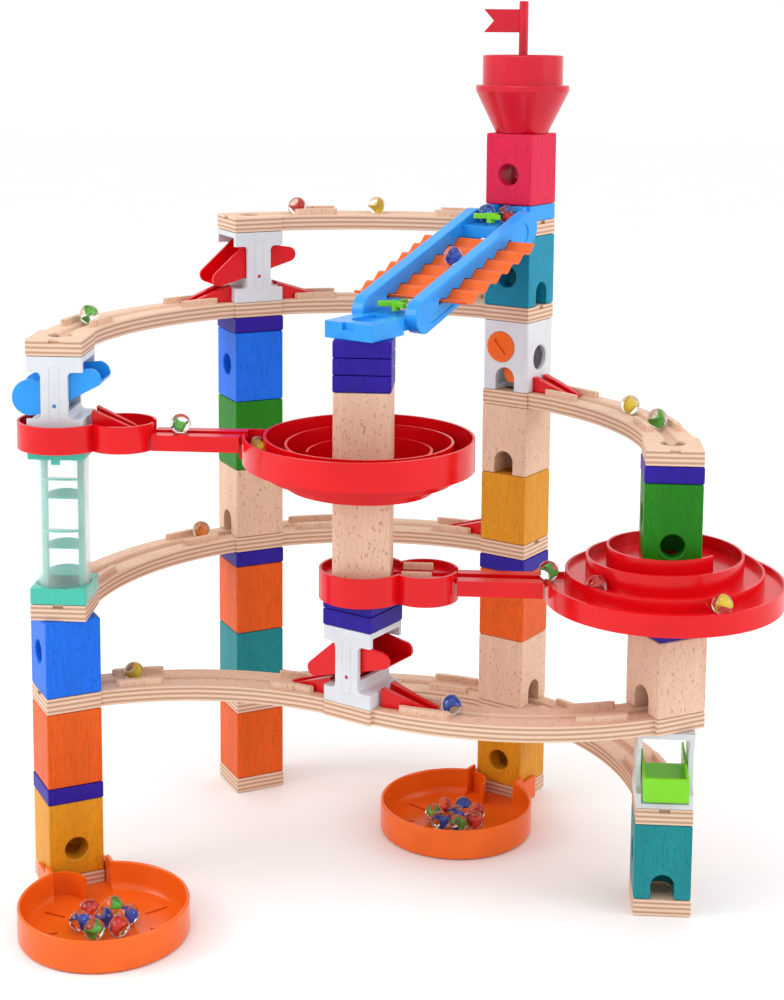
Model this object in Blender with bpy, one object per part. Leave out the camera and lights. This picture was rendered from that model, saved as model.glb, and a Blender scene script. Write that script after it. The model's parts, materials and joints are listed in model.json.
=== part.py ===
"""Wooden marble run: five block towers, six curved rails, two red spirals and a ramp.

The towers stand on a hexagonal grid. The centre tower is the grid's centre and the other
four are neighbouring corners, so every curved rail is a sixth of a circle, or two of them,
whose radius is the spacing of the towers. Run it with blender --background --python part.py.
"""

import math

import bmesh
import bpy
from mathutils import Matrix, Vector

# Driving sizes, in metres
SPACING = 0.240         # between neighbouring towers, and the radius of every rail
BLOCK = 0.045           # side of a square block
BLOCK_HEIGHT = 0.062
PLATE = 0.0135          # thickness of a rail, a spacer or a collar plate
GAP = 0.0003            # air between touching pieces
MARBLE_RADIUS = 0.008
PAST = 0.001            # how far a cutting tool runs past a face
SPACER = BLOCK + 0.001  # side of a spacer
BORE = 0.010            # radius of the holes that marbles fall through
EXIT = 0.0095           # radius of the holes that marbles roll out of
CHAMFER = 0.002
HALF = BLOCK / 2
CENTRE_TOWER = (-0.0270, -0.0555)   # from the plan's middle to the centre tower

RAIL_HALF_WIDTH = 0.0195
GROOVE_HALF_WIDTH = 0.005
GROOVE_DEPTH = 0.003
GUIDE_OFFSET = 0.0125   # from the groove's middle to a guide bar's middle
GUIDE_WIDTH = 0.0045
GUIDE_HEIGHT = 0.005
GUIDE_FROM_TOWER = 9.4  # degrees along the rail, from a tower to its guide bars
GUIDE_SPAN = 9.5        # degrees

PIVOT_HEIGHT = 0.0226   # of a rocker's pin above its frame's base
PIN_RADIUS = 0.0013
WALL_INSIDE = 0.0185    # half the room between a frame's two walls
WAIST = 0.01075         # half the width of a frame's wall at its waist

BOWL_HUB = 0.025        # height of the square hub of the bowl spiral
MOUND_HUB = BLOCK_HEIGHT - PLATE
RING_RADIUS = 0.035     # of the collar ring round a tower
BULGE_RADIUS = 0.027    # of the second ring, where a channel starts
BULGE_OFFSET = 0.0485
CHANNEL_HALF_WIDTH = 0.015
CHANNEL_HEIGHT = 0.0125
SKIN = 0.002            # wall thickness of the red plastic
COLLAR_FLOOR = 0.005    # thickness of the floor of the collar rings

RAMP_TURN = 60.0        # degrees: the ramp climbs from the centre tower this way
RAMP_SLOPE = math.radians(18.9)
RAMP_FOOT = (0.040, 0.4695)   # along the ramp and up: middle of the side walls' low end
RAMP_WALL_INNER = 0.0195
RAMP_WALL_OUTER = 0.031
RAMP_WALL_RADIUS = 0.014

KNOB_SIDE = 0.0045      # of the switch knob's axle from the block's middle
KNOB_HEIGHT = 0.0389    # of the axle above the block's foot

SPINNERS = (            # name, how far along the ramp, foot height
    ("lower_spinner", 0.044, 0.4710),
    ("upper_spinner", 0.189, 0.5290),
)

TOWER_ANGLES = {"left_front": 180, "left_rear": 120, "right_rear": 60, "right_front": 0}

FINISHES = {
    # name: (red, green, blue), roughness, opacity
    "beech": ((0.72, 0.51, 0.36), 0.55, 1.0),
    "ply": ((0.74, 0.55, 0.41), 0.60, 1.0),
    "indigo_paint": ((0.03, 0.02, 0.42), 0.45, 1.0),
    "yellow_paint": ((0.72, 0.36, 0.01), 0.45, 1.0),
    "orange_paint": ((0.74, 0.11, 0.01), 0.45, 1.0),
    "blue_paint": ((0.01, 0.16, 0.75), 0.45, 1.0),
    "teal_paint": ((0.01, 0.26, 0.28), 0.45, 1.0),
    "green_paint": ((0.01, 0.16, 0.01), 0.45, 1.0),
    "crimson_paint": ((0.74, 0.01, 0.08), 0.40, 1.0),
    "red_plastic": ((0.80, 0.004, 0.006), 0.22, 1.0),
    "crimson_plastic": ((0.72, 0.012, 0.05), 0.25, 1.0),
    "white_plastic": ((0.80, 0.82, 0.86), 0.30, 1.0),
    "blue_plastic": ((0.03, 0.28, 0.80), 0.28, 1.0),
    "sky_plastic": ((0.04, 0.38, 0.80), 0.28, 1.0),
    "orange_plastic": ((0.85, 0.13, 0.006), 0.28, 1.0),
    "lime_plastic": ((0.19, 0.68, 0.01), 0.28, 1.0),
    "mint_plastic": ((0.03, 0.52, 0.42), 0.28, 1.0),
    "clear_plastic": ((0.90, 0.95, 0.95), 0.05, 0.25),
    "glass": ((0.75, 0.85, 0.80), 0.03, 0.45),
}


# Plan and levels

def tower_place(tower):
    """X and Y of a tower's middle."""
    x, y = CENTRE_TOWER
    if tower == "centre":
        return x, y
    angle = math.radians(TOWER_ANGLES[tower])
    return x + SPACING * math.cos(angle), y + SPACING * math.sin(angle)


def level(blocks, plates):
    """Height above the floor after so many blocks and plates."""
    return blocks * BLOCK_HEIGHT + plates * PLATE


def grid_point(degrees):
    """A corner of the hexagon round the centre tower, relative to the centre tower."""
    angle = math.radians(degrees)
    return SPACING * math.cos(angle), SPACING * math.sin(angle)


# Meshes

def new_piece(name, mesh_builder):
    """Turns a bmesh into an object with its normals out."""
    bmesh.ops.recalc_face_normals(mesh_builder, faces=mesh_builder.faces)
    mesh = bpy.data.meshes.new(name)
    mesh_builder.to_mesh(mesh)
    mesh_builder.free()
    piece = bpy.data.objects.new(name, mesh)
    bpy.context.scene.collection.objects.link(piece)
    return piece


def loft(name, sections):
    """A closed solid through rings of points, all with the same count."""
    builder = bmesh.new()
    rings = [[builder.verts.new(point) for point in section] for section in sections]
    for low, high in zip(rings, rings[1:]):
        for i in range(len(low)):
            j = (i + 1) % len(low)
            builder.faces.new((low[i], low[j], high[j], high[i]))
    builder.faces.new(rings[0])
    builder.faces.new(rings[-1])
    return new_piece(name, builder)


def prism(name, outline, low, high, axis="Z"):
    """An outline extruded from low to high along an axis; XZ outlines run along Y."""
    def place(a, b, c):
        return {"Z": (a, b, c), "Y": (a, c, b), "X": (c, a, b)}[axis]

    return loft(name, [[place(a, b, c) for a, b in outline] for c in (low, high)])


def box(name, x_range, y_range, z_range):
    (x0, x1), (y0, y1) = x_range, y_range
    return prism(name, [(x0, y0), (x1, y0), (x1, y1), (x0, y1)], *z_range)


def circle(radius, sides, centre=(0.0, 0.0), start=0.0, sweep=360.0):
    """Points round a circle, or round an arc with both its ends."""
    steps = sides if sweep == 360.0 else sides - 1
    points = []
    for i in range(sides):
        angle = math.radians(start + sweep * i / steps)
        points.append((centre[0] + radius * math.cos(angle), centre[1] + radius * math.sin(angle)))
    return points


def cylinder(name, radius, low, high, sides=12, centre=(0.0, 0.0), axis="Z"):
    """A round bar along an axis, with flats rather than corners at its sides."""
    return prism(name, circle(radius, sides, centre, 180.0 / sides), low, high, axis)


def revolve(name, profile, sides):
    """A closed profile of (radius, height) points turned round Z; its ends lie on a wall."""
    builder = bmesh.new()
    columns = []
    for i in range(sides):
        angle = 2 * math.pi * i / sides
        column = []
        for radius, height in profile:
            point = (radius * math.cos(angle), radius * math.sin(angle), height)
            column.append(builder.verts.new(point))
        columns.append(column)
    count = len(profile)
    for i in range(sides):
        here, there = columns[i], columns[(i + 1) % sides]
        for j in range(count):
            k = (j + 1) % count
            builder.faces.new((here[j], there[j], there[k], here[k]))
    return new_piece(name, builder)


def square(side=BLOCK, chamfer=CHAMFER):
    """A square outline with small chamfers."""
    half = side / 2
    cut = half - chamfer
    return [(half, -cut), (half, cut), (cut, half), (-cut, half),
            (-half, cut), (-half, -cut), (-cut, -half), (cut, -half)]


def combine(target, operation, *tools):
    """Joins tools to a piece, or cuts them out of it, one after another."""
    for tool in tools:
        modifier = target.modifiers.new(operation.lower(), "BOOLEAN")
        modifier.operation = operation
        modifier.solver = "EXACT"
        modifier.object = tool
        bpy.context.view_layer.objects.active = target
        bpy.ops.object.modifier_apply(modifier=modifier.name)
        bpy.data.objects.remove(tool, do_unlink=True)
    return target


def join(target, *tools):
    return combine(target, "UNION", *tools)


def cut(target, *tools):
    return combine(target, "DIFFERENCE", *tools)


def moved(piece, offset=(0.0, 0.0, 0.0), turn=0.0):
    """Turns a tool's mesh about Z by degrees, then shifts it."""
    turned = Matrix.Rotation(math.radians(turn), 4, "Z")
    piece.data.transform(Matrix.Translation(Vector(offset)) @ turned)
    return piece


def finish_material(finish):
    material = bpy.data.materials.get(finish)
    if material is not None:
        return material
    colour, roughness, opacity = FINISHES[finish]
    material = bpy.data.materials.new(finish)
    material.use_nodes = True
    shader = material.node_tree.nodes["Principled BSDF"]
    shader.inputs["Base Color"].default_value = (*colour, 1.0)
    shader.inputs["Roughness"].default_value = roughness
    shader.inputs["Metallic"].default_value = 0.0
    shader.inputs["Alpha"].default_value = opacity
    material.diffuse_color = (*colour, opacity)
    return material


def put(piece, finish, place, height, turn=0.0, smooth=False):
    """Gives a piece its finish and stands it at its place."""
    piece.data.materials.clear()
    piece.data.materials.append(finish_material(finish))
    for face in piece.data.polygons:
        face.material_index = 0
        face.use_smooth = smooth
    piece.location = (place[0], place[1], height)
    piece.rotation_euler = (0.0, 0.0, math.radians(turn))
    return piece


# Blocks, spacers and plates

def exit_tool(direction, height, radius=EXIT):
    """A round hole from a block's middle out of one side."""
    tool = cylinder("hole", radius, 0.001, BLOCK, centre=(0.0, height), axis="X")
    return moved(tool, turn=direction)


def arch_tool(direction):
    """An arch at the foot of a block, from its middle out of one side."""
    outline = [(EXIT, -0.001)] + circle(EXIT, 9, (0.0, 0.0115), 0.0, 180.0) + [(-EXIT, -0.001)]
    return moved(prism("arch", outline, 0.001, BLOCK, "X"), turn=direction)


def block(name, finish, tower, base, turn, holes=(), arches=(), bore_from=-PAST, spacer=False):
    """A block with its bore; holes are (direction, height) and arches are directions.

    Directions are degrees in plan. A spacer may be joined to its top.
    """
    wide = square(SPACER)
    narrow = square()
    steps = [(narrow, 0.0), (narrow, BLOCK_HEIGHT - GAP)]
    height = BLOCK_HEIGHT
    if spacer:
        height += PLATE
        steps = [(narrow, 0.0), (narrow, BLOCK_HEIGHT), (wide, BLOCK_HEIGHT), (wide, height - GAP)]
    piece = loft(name, [[(x, y, z) for x, y in outline] for outline, z in steps])
    cut(piece, cylinder("bore", BORE, bore_from, height + PAST))
    for direction, up in holes:
        cut(piece, exit_tool(direction - turn, up))
    for direction in arches:
        cut(piece, arch_tool(direction - turn))
    return put(piece, finish, tower_place(tower), base, turn)


def spacer_stack(name, tower, base, count, turn):
    """Thin indigo spacers stacked on each other, with the narrow seams between them."""
    outlines = []
    for i in range(count):
        low = i * PLATE
        for inset, z in ((0.0012, low), (0.0, low + 0.0012),
                         (0.0, low + PLATE - 0.0012), (0.0012, low + PLATE)):
            if i < count - 1 and z == low + PLATE:
                continue
            outlines.append((square(SPACER - 2 * inset), z))
    last_outline, last_z = outlines[-1]
    outlines[-1] = (last_outline, last_z - GAP)
    piece = loft(name, [[(x, y, z) for x, y in outline] for outline, z in outlines])
    cut(piece, cylinder("bore", BORE, -PAST, count * PLATE + 0.001))
    return put(piece, "indigo_paint", tower_place(tower), base, turn)


def base_plate(name, tower, turn):
    """The plywood square under a tower, with a shallow dish that stops the marbles."""
    piece = prism(name, square(BLOCK + 0.0005), 0.0, PLATE - GAP)
    cut(piece, cylinder("dish", BORE, PLATE - 0.003, PLATE))
    return put(piece, "ply", tower_place(tower), 0.0, turn)


# Rails

def arc_outline(half_width, start, end, offset=0.0):
    """The plan of a curved strip, as an outer arc and the inner arc back.

    The number of steps is odd, so that no corner falls on a tower in the middle.
    """
    count = 2 * int(abs(end - start) * 0.075) + 2
    outer = circle(SPACING + offset + half_width, count, (0.0, 0.0), start, end - start)
    inner = circle(SPACING + offset - half_width, count, (0.0, 0.0), start, end - start)
    return outer + inner[::-1]


def rail_part(name, outline, low, high, centre):
    return moved(prism(name, outline, low, high), (centre[0], centre[1], 0.0))


def guide_bars(node_angle, side, centre):
    """The two beech strips that keep marbles in the groove beside one tower."""
    start = node_angle + side * GUIDE_FROM_TOWER
    end = start + side * GUIDE_SPAN
    low, high = sorted((start, end))
    bars = []
    for offset in (-GUIDE_OFFSET, GUIDE_OFFSET):
        outline = arc_outline(GUIDE_WIDTH / 2, low, high, offset)
        bars.append(rail_part("guide", outline, PLATE - 0.001, PLATE - GAP + GUIDE_HEIGHT, centre))
    return bars


def rail(name, arcs, ends, base):
    """A plywood rail along arcs.

    Each arc is (centre, angle, angle, guide angles), where a guide angle is (node, side).
    Each end is (place, direction): a square end with a marble hole, and the direction that
    its end face looks, or None where the rail runs on to both sides.
    """
    top = PLATE - GAP
    centre, start, end, _ = arcs[0]
    piece = rail_part(name, arc_outline(RAIL_HALF_WIDTH, start, end), 0.0, top, centre)
    for place, direction in ends:
        turn = direction[1] if isinstance(direction, tuple) else direction
        join(piece, moved(prism("end", square(), 0.0, top), (*place, 0.0), turn))
    for centre, start, end, _ in arcs[1:]:
        join(piece, rail_part("arc", arc_outline(RAIL_HALF_WIDTH, start, end), 0.0, top, centre))
    for centre, _, _, guides in arcs:
        for node_angle, side in guides:
            join(piece, *guide_bars(node_angle, side, centre))
    for centre, start, end, _ in arcs:
        groove = arc_outline(GROOVE_HALF_WIDTH, start, end)
        cut(piece, rail_part("groove", groove, top - GROOVE_DEPTH, PLATE, centre))
    for place, direction in ends:
        cut(piece, cylinder("hole", BORE, -PAST, PLATE + PAST, centre=place))
        if isinstance(direction, tuple):
            continue
        notch = box("notch", (HALF - 0.0025, HALF + 0.001), (-0.004, 0.004), (top - 0.0035, PLATE))
        cut(piece, moved(notch, (*place, 0.0), direction))
    return put(piece, "ply", CENTRE_TOWER, base)


def through(direction):
    """Marks a square node of a rail that goes on to both sides."""
    return ("through", direction)


def make_rails():
    left_front, left_rear = grid_point(180), grid_point(120)
    right_rear, right_front = grid_point(60), grid_point(0)
    centre = (0.0, 0.0)
    front_left = grid_point(240)

    def rim_arc(start, end):
        """Round the centre tower, from one outer tower to another, with guides at each."""
        nodes = range(end, start + 1, 60)
        guides = [(n, 1) for n in nodes if n < start] + [(n, -1) for n in nodes if n > end]
        return [(centre, end, start, guides)]

    long_left = [(left_front, 270), (left_rear, through(30)), (right_rear, -30)]
    rail("middle_rail", rim_arc(180, 60), long_left, level(3, 3))
    rail("upper_rail", rim_arc(180, 60), long_left, level(6, 5))
    long_back = [(left_rear, 210), (right_rear, through(60)), (right_front, 270)]
    rail("lower_back_rail", rim_arc(120, 0), long_back, level(1, 1))
    rail("top_rail", rim_arc(120, 60), [(left_rear, 210), (right_rear, -30)], level(7, 6))
    rail("right_rail", rim_arc(60, 0), [(right_rear, 150), (right_front, 270)], level(5, 4))
    s_arcs = [
        (front_left, 60, 120, [(60, 1), (120, -1)]),
        (right_rear, 240, 300, [(240, 1), (300, -1)]),
    ]
    s_ends = [(left_front, 210), (centre, through(60)), (right_front, 30)]
    rail("s_rail", s_arcs, s_ends, level(2, 2))


def make_rail_plug():
    """The turned plug that closes the S-rail's hole over the open middle."""
    rings = [(0.006, 0.0), (0.0098, 0.0015), (0.0112, 0.0037), (0.0095, 0.0037), (0.0095, 0.0125)]
    sections = [[(x, y, z) for x, y in circle(radius, 16)] for radius, z in rings]
    plug = loft("rail_plug", sections)
    put(plug, "beech", tower_place("centre"), level(2, 2) - 0.004)


# Seesaws and the tipping tray

def frame(name, tower, base, turn, floor):
    """A white frame: two I-shaped walls, a top plate with a marble hole and a shaped floor."""
    height = BLOCK_HEIGHT - GAP
    piece = prism(name, square(BLOCK, 0.001), 0.0, height)
    tunnel = floor + [(0.030, 0.057), (-0.030, 0.057)]
    cut(piece, prism("tunnel", tunnel, -WALL_INSIDE, WALL_INSIDE, "Y"))
    for side in (-1, 1):
        notch = [(0.030, 0.012), (0.030, 0.0495), (0.0145, 0.0495), (0.0118, 0.0484),
                 (WAIST, 0.0457), (WAIST, 0.0158), (0.0118, 0.0131), (0.0145, 0.012)]
        cut(piece, prism("notch", [(side * x, z) for x, z in notch], -BLOCK, BLOCK, "Y"))
    cut(piece, cylinder("hole", BORE, 0.050, 0.070))
    cut(piece, cylinder("pin_hole", PIN_RADIUS + GAP, -BLOCK, BLOCK, 12, (0.0, PIVOT_HEIGHT), "Y"))
    return put(piece, "white_plastic", tower_place(tower), base, turn)


def rocker(name, finish, tower, base, turn, outline, rooms):
    """A two-walled trough on two stub pins; its origin is on its axis."""
    outside = WALL_INSIDE - 0.001
    inside = outside - 0.0025
    piece = prism(name, outline, -outside, outside, "Y")
    for room in rooms:
        cut(piece, prism("room", room, -inside, inside, "Y"))
    join(piece, cylinder("hub", 0.0042, -inside - 0.001, inside + 0.001, 12, axis="Y"))
    join(piece, cylinder("pins", PIN_RADIUS, -HALF + GAP, HALF - GAP, 12, axis="Y"))
    return put(piece, finish, tower_place(tower), base + PIVOT_HEIGHT, turn)


def tilted(points, degrees):
    """Turns outline points about the pivot, left side down."""
    c, s = math.cos(math.radians(degrees)), math.sin(math.radians(degrees))
    return [(x * c - z * s, x * s + z * c) for x, z in points]


def make_seesaws():
    hump = [(-0.030, 0.0156), (-0.008, 0.0216), (-0.007, 0.0165), (0.007, 0.0165),
            (0.008, 0.0216), (0.030, 0.0156)]
    rest_tilt = 16.2
    left_end = circle(0.0065, 6, (-0.034, 0.0086), 115.0, 155.0)
    right_end = circle(0.0065, 6, (0.034, 0.0086), 270.0, 155.0)
    outline = tilted(left_end + right_end + [(0.0022, 0.0310), (-0.0022, 0.0310)], rest_tilt)
    floor_top = 0.0042
    room = [(0.0013, floor_top), (0.050, floor_top), (0.050, 0.040), (0.0013, 0.040)]
    left_room = [(-x, z) for x, z in room]
    rooms = [tilted(room, rest_tilt), tilted(left_room, rest_tilt)]
    for tower, base, turn in (("left_rear", level(6, 6), 30), ("centre", level(2, 3), -30)):
        frame(f"{tower}_seesaw_frame", tower, base, turn, hump)
        rocker(f"{tower}_red_rocker", "red_plastic", tower, base, turn, outline, rooms)

    low_hump = [(-0.030, 0.0070), (-0.008, 0.0130), (-0.007, 0.0130), (0.007, 0.0150),
                (0.008, 0.0180), (0.030, 0.0150)]
    paddle = circle(0.0143, 9, (-0.0206, 0.0056), 62.0, 226.0)
    blue_outline = paddle + [(0.0, -0.0050), (0.004, -0.0030), (0.0129, 0.0050), (0.0350, 0.0165),
                             (0.0360, 0.0210), (0.0340, 0.0262), (0.0285, 0.0295), (0.0, 0.0270)]
    right_room = [(0.0013, 0.0048), (0.0115, 0.0066), (0.050, 0.0272), (0.050, 0.050), (0.0013, 0.050)]
    back_room = [(-0.0013, 0.0042), (-0.0013, 0.050), (-0.050, 0.050), (-0.050, -0.0040), (-0.010, 0.0010)]
    frame("left_front_seesaw_frame", "left_front", level(5, 5), 0, low_hump)
    rocker("blue_rocker", "blue_plastic", "left_front", level(5, 5), 0, blue_outline,
           [right_room, back_room])

    flat_floor = [(-0.030, 0.0040), (0.030, 0.0040)]
    tray = [(-0.018, -0.0036), (0.031, -0.0136), (0.0325, -0.0120), (0.0305, 0.0054), (-0.020, 0.0160)]
    tray_room = [(-0.030, 0.0010), (-0.018, -0.0016), (0.0290, -0.0112), (0.0283, 0.0300), (-0.030, 0.0300)]
    frame("tray_frame", "right_front", level(1, 2), -90, flat_floor)
    outside = WALL_INSIDE - 0.0008
    piece = prism("tipping_tray", tray, -outside, outside, "Y")
    cut(piece, prism("room", tray_room, -outside + 0.002, outside - 0.002, "Y"))
    for side in (-1, 1):
        near, far = sorted((side * (outside - 0.001), side * (HALF - GAP)))
        join(piece, cylinder("pin", PIN_RADIUS, near, far, 12, axis="Y"))
    put(piece, "lime_plastic", tower_place("right_front"), level(1, 2) + PIVOT_HEIGHT, -90)


# Red spiral tracks

def spiral_strip(name, radii, floors, pitch_rise, walls, per_turn):
    """A channel wound inwards, with neighbouring turns sharing one wall.

    radii and floors give the outer radius and the floor's underside at each station. The
    floor of one turn meets the outside of the next turn's wall, pitch_rise higher or lower,
    and walls gives each station's (foot, top) of the wall from its own floor.
    """
    builder = bmesh.new()
    last = len(radii) - 1
    rings = []
    for i, (radius, floor) in enumerate(zip(radii, floors)):
        angle = math.pi + 2 * math.pi * i / per_turn
        inner = radii[i + per_turn] if i + per_turn <= last else HALF - 0.001
        foot, top = walls[i]
        inside = radius - SKIN
        if pitch_rise < 0:
            shape = [(radius, 0.0), (radius, -pitch_rise), (radius, SKIN - pitch_rise), (radius, top),
                     (inside, top), (inside, SKIN), (inner, SKIN), (inner, 0.0)]
        else:
            shape = [(radius, foot), (radius, foot + SKIN), (radius, top), (inside, top),
                     (inside, SKIN), (inner, SKIN), (inner, 0.0), (inside, 0.0), (inside, foot)]
        ring = []
        for r, z in shape:
            point = (r * math.cos(angle), r * math.sin(angle), floor + z)
            ring.append(builder.verts.new(point))
        rings.append(ring)
    outer_band = 1 if pitch_rise < 0 else 0
    inner_edge = 6 if pitch_rise < 0 else 5
    count = len(rings[0])
    for i in range(last):
        for j in range(count):
            if j == outer_band and i >= per_turn:
                continue
            if j == inner_edge and i + per_turn < last:
                continue
            k = (j + 1) % count
            builder.faces.new((rings[i][j], rings[i][k], rings[i + 1][k], rings[i + 1][j]))
    builder.faces.new(rings[0])
    builder.faces.new(rings[last])
    bmesh.ops.remove_doubles(builder, verts=builder.verts, dist=0.000001)
    bmesh.ops.recalc_face_normals(builder, faces=builder.faces)
    bmesh.ops.triangulate(builder, faces=builder.faces)
    return new_piece(name, builder)


def channel(name, start, end, top):
    """A hollow-backed bar along X with a marble groove in its top."""
    side, inner = CHANNEL_HALF_WIDTH, CHANNEL_HALF_WIDTH - SKIN
    groove, lip = GROOVE_HALF_WIDTH, GROOVE_HALF_WIDTH + SKIN
    bottom, roof = top - CHANNEL_HEIGHT, top - SKIN
    half = [(groove, top - GROOVE_DEPTH), (groove, top), (side, top), (side, bottom), (inner, bottom),
            (inner, roof), (lip, roof), (lip, roof - GROOVE_DEPTH)]
    outline = half + [(-y, z) for y, z in half[::-1]]
    return prism(name, outline, start, end, "X")


def collar(name, ring):
    """The open ring round a tower and the second ring beside it, on one shared floor."""
    foot, top, plate_foot, floor = ring
    piece = cylinder(name, RING_RADIUS, foot, top, 32)
    join(piece, cylinder("bulge", BULGE_RADIUS, foot, top, 26, (BULGE_OFFSET, 0.0)))
    for low, high in ((floor, top + PAST), (foot - PAST, floor - COLLAR_FLOOR)):
        inside = cylinder("inside", RING_RADIUS - SKIN, low, high, 32)
        second = cylinder("inside", BULGE_RADIUS - SKIN, low, high, 26, (BULGE_OFFSET, 0.0))
        cut(piece, join(inside, second))
    join(piece, prism("plate", square(), plate_foot, floor))
    return piece


def spiral_track(name, tower, ring, radii, underside, rim, strip, hub):
    """A collar round one tower, a grooved bar and a spiral round the next tower.

    ring is the collar's (foot, wall top, plate foot, floor), radii the spiral's largest and
    one-turn-in radii, underside and rim its levels where the bar meets it, and hub the
    (foot, top) of its square middle.
    """
    foot, top, plate_foot, floor = ring
    outer_radius, next_radius = radii
    side, inner = CHANNEL_HALF_WIDTH, CHANNEL_HALF_WIDTH - SKIN
    bar_start = BULGE_OFFSET + BULGE_RADIUS - SKIN / 2
    bar_end = SPACING - outer_radius - SKIN / 2
    pocket_end = SPACING - next_radius
    piece = collar(name, ring)
    join(piece, channel("channel", bar_start, bar_end, floor))
    join(piece, moved(strip, (SPACING, 0.0, 0.0)))
    join(piece, box("pocket", (bar_end - SKIN, pocket_end + 0.0012), (-SKIN, side), (underside, rim)))
    join(piece, moved(prism("hub", square(), *hub), (SPACING, 0.0, 0.0)))
    pocket = (bar_end + 2 * SKIN, pocket_end - 0.0002)
    cut(piece, box("pocket", pocket, (-SKIN - 0.001, inner), (underside + SKIN + 0.0002, top + 0.02)))
    groove = (HALF + 0.001, pocket[0] + 0.0005)
    width = GROOVE_HALF_WIDTH
    cut(piece, box("groove", groove, (-width, width), (floor - GROOVE_DEPTH, top + PAST)))
    cut(piece, cylinder("bore", BORE, plate_foot - PAST, floor + PAST))
    cut(piece, cylinder("bore", BORE, hub[0] - PAST, hub[1] + PAST, centre=(SPACING, 0.0)))
    return put(piece, "red_plastic", tower_place(tower), 0.0)


def make_spiral_tracks():
    per_turn = 24
    turns = 3
    stations = range(per_turn * turns + 1)

    pitch, fall, start, rim = 0.0165, 0.009, 0.3570, 0.3775
    outer = 0.0955
    radii = [outer - pitch * i / per_turn for i in stations]
    floors = [start - fall * i / per_turn for i in stations]
    drop = 0.007
    walls = [(0.0, rim - floors[i] - drop * max(0.0, i / per_turn - 1.0)) for i in stations]
    strip = spiral_strip("strip", radii, floors, -fall, walls, per_turn)
    foot = level(4, 6)
    ring = (level(5, 4), 0.3855, level(5, 4), level(5, 5) - GAP)
    track = spiral_track("bowl_spiral_track", "left_front", ring, (outer, outer - pitch), start, rim,
                         strip, (foot, foot + BOWL_HUB - GAP))
    cut(track, moved(arch_tool(180.0), (SPACING, 0.0, foot + 0.0035)))

    pitch, rise, start, lip, tall_lip = 0.016, 0.0069, 0.2622, 0.0054, 0.0118
    outer, skirt = 0.097, 0.0115
    stations = range(82)
    radii = [outer - pitch * i / per_turn for i in stations]
    floors = [start + rise * i / per_turn for i in stations]
    walls = []
    for i in stations:
        growth = min(1.0, max(0.0, i / per_turn - 1.25))
        foot = -rise if i >= per_turn else -skirt
        walls.append((foot, lip + growth * (tall_lip - lip)))
    strip = spiral_strip("strip", radii, floors, rise, walls, per_turn)
    foot = level(3, 4)
    ring = (0.2480, 0.2715, level(3, 5), level(3, 6) - GAP)
    spiral_track("mound_spiral_track", "centre", ring, (outer, outer - pitch), start, start + lip,
                 strip, (foot, foot + MOUND_HUB - GAP))


# Catch bowls

def catch_bowl(name, tower, direction):
    """An orange bowl on the floor whose collar holds the foot of a tower."""
    reach = 0.095
    rim, wall, height, floor = 0.066, 0.003, 0.026, 0.003
    neck = HALF + 0.004
    piece = cylinder(name, rim, 0.0, height, 32)
    front = reach - HALF - GAP
    join(piece, box("neck", (0.040, front), (-neck, neck), (0.0, height)))
    room = cylinder("room", rim - wall, floor, height + 0.001, 32)
    join(room, box("room", (0.030, front + 0.001), (-neck + wall, neck - wall), (floor, height + PAST)))
    cut(piece, room)
    for side in (-1, 1):
        near, far = sorted((side * (HALF + 0.0008), side * neck))
        join(piece, box("arm", (front - 0.002, reach), (near, far), (0.0, 0.020)))
    for i in range(8):
        angle = 40.0 + 40.0 * i
        if i == 7:
            continue
        slot = box("slot", (0.036, 0.055), (-0.0014, 0.0014), (-0.001, floor + PAST))
        cut(piece, moved(slot, turn=angle))
    fin = circle(0.022, 8, (0.046, 0.022), -90.0, 90.0)
    fin_back = circle(0.0198, 8, (0.046, 0.022), -90.0, 90.0)
    join(piece, prism("fin", fin + fin_back[::-1], floor - 0.001, height - 0.004))
    x, y = tower_place(tower)
    angle = math.radians(direction)
    place = (x + reach * math.cos(angle), y + reach * math.sin(angle))
    return put(piece, "orange_plastic", place, 0.0, direction + 180)


# The tube tower

def make_tube_tower():
    base, top = level(3, 4), level(5, 4)
    place = tower_place("left_front")
    cap_thickness = 0.0067
    tube_outer, tube_inner = 0.021, 0.01925
    piece = prism("ladder_base", square(), 0.0, 0.013)
    cut(piece, cylinder("socket", tube_outer + GAP, 0.004, 0.014, 32))
    cut(piece, cylinder("bore", BORE, -PAST, 0.005))
    post_top = top - base - cap_thickness - GAP
    for side in (-1, 1):
        near, far = sorted((side * 0.0125, side * 0.0170))
        join(piece, box("post", (near, far), (-0.003, 0.003), (0.003, post_top)))
    for height, side in ((0.018, 1), (0.040, 1), (0.055, -1), (0.081, 1), (0.097, -1)):
        rim = circle(0.0172, 9, (0.0, 0.0), 0.0, 180.0)
        shelf = prism("shelf", rim, -0.0008, 0.0008)
        tilt = Matrix.Rotation(math.radians(11.0), 4, "X")
        face = Matrix.Rotation(0.0 if side == 1 else math.pi, 4, "Z")
        shelf.data.transform(Matrix.Translation((0.0, 0.0, height)) @ face @ tilt)
        join(piece, shelf)
    put(piece, "mint_plastic", place, base)

    low, high = 0.0043, top - base - cap_thickness - GAP
    profile = [(tube_outer, low), (tube_outer, high), (tube_inner, high), (tube_inner, low)]
    put(revolve("clear_tube", profile, 28), "clear_plastic", place, base)

    cap = prism("tube_cap", square(), 0.0, cap_thickness - GAP)
    join(cap, box("tab", (-0.0035, 0.0035), (-HALF + 0.0005, -HALF + 0.0012), (-0.004, 0.001)))
    cut(cap, cylinder("hole", BORE, -0.001, cap_thickness + 0.001))
    put(cap, "mint_plastic", place, top - cap_thickness)


# The ramp

def ramp_point(along, up):
    """A point on the slope: along the ramp's side walls from their low end, then square to it."""
    foot_x, foot_z = RAMP_FOOT
    c, s = math.cos(RAMP_SLOPE), math.sin(RAMP_SLOPE)
    return foot_x + along * c - up * s, foot_z + along * s + up * c


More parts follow.
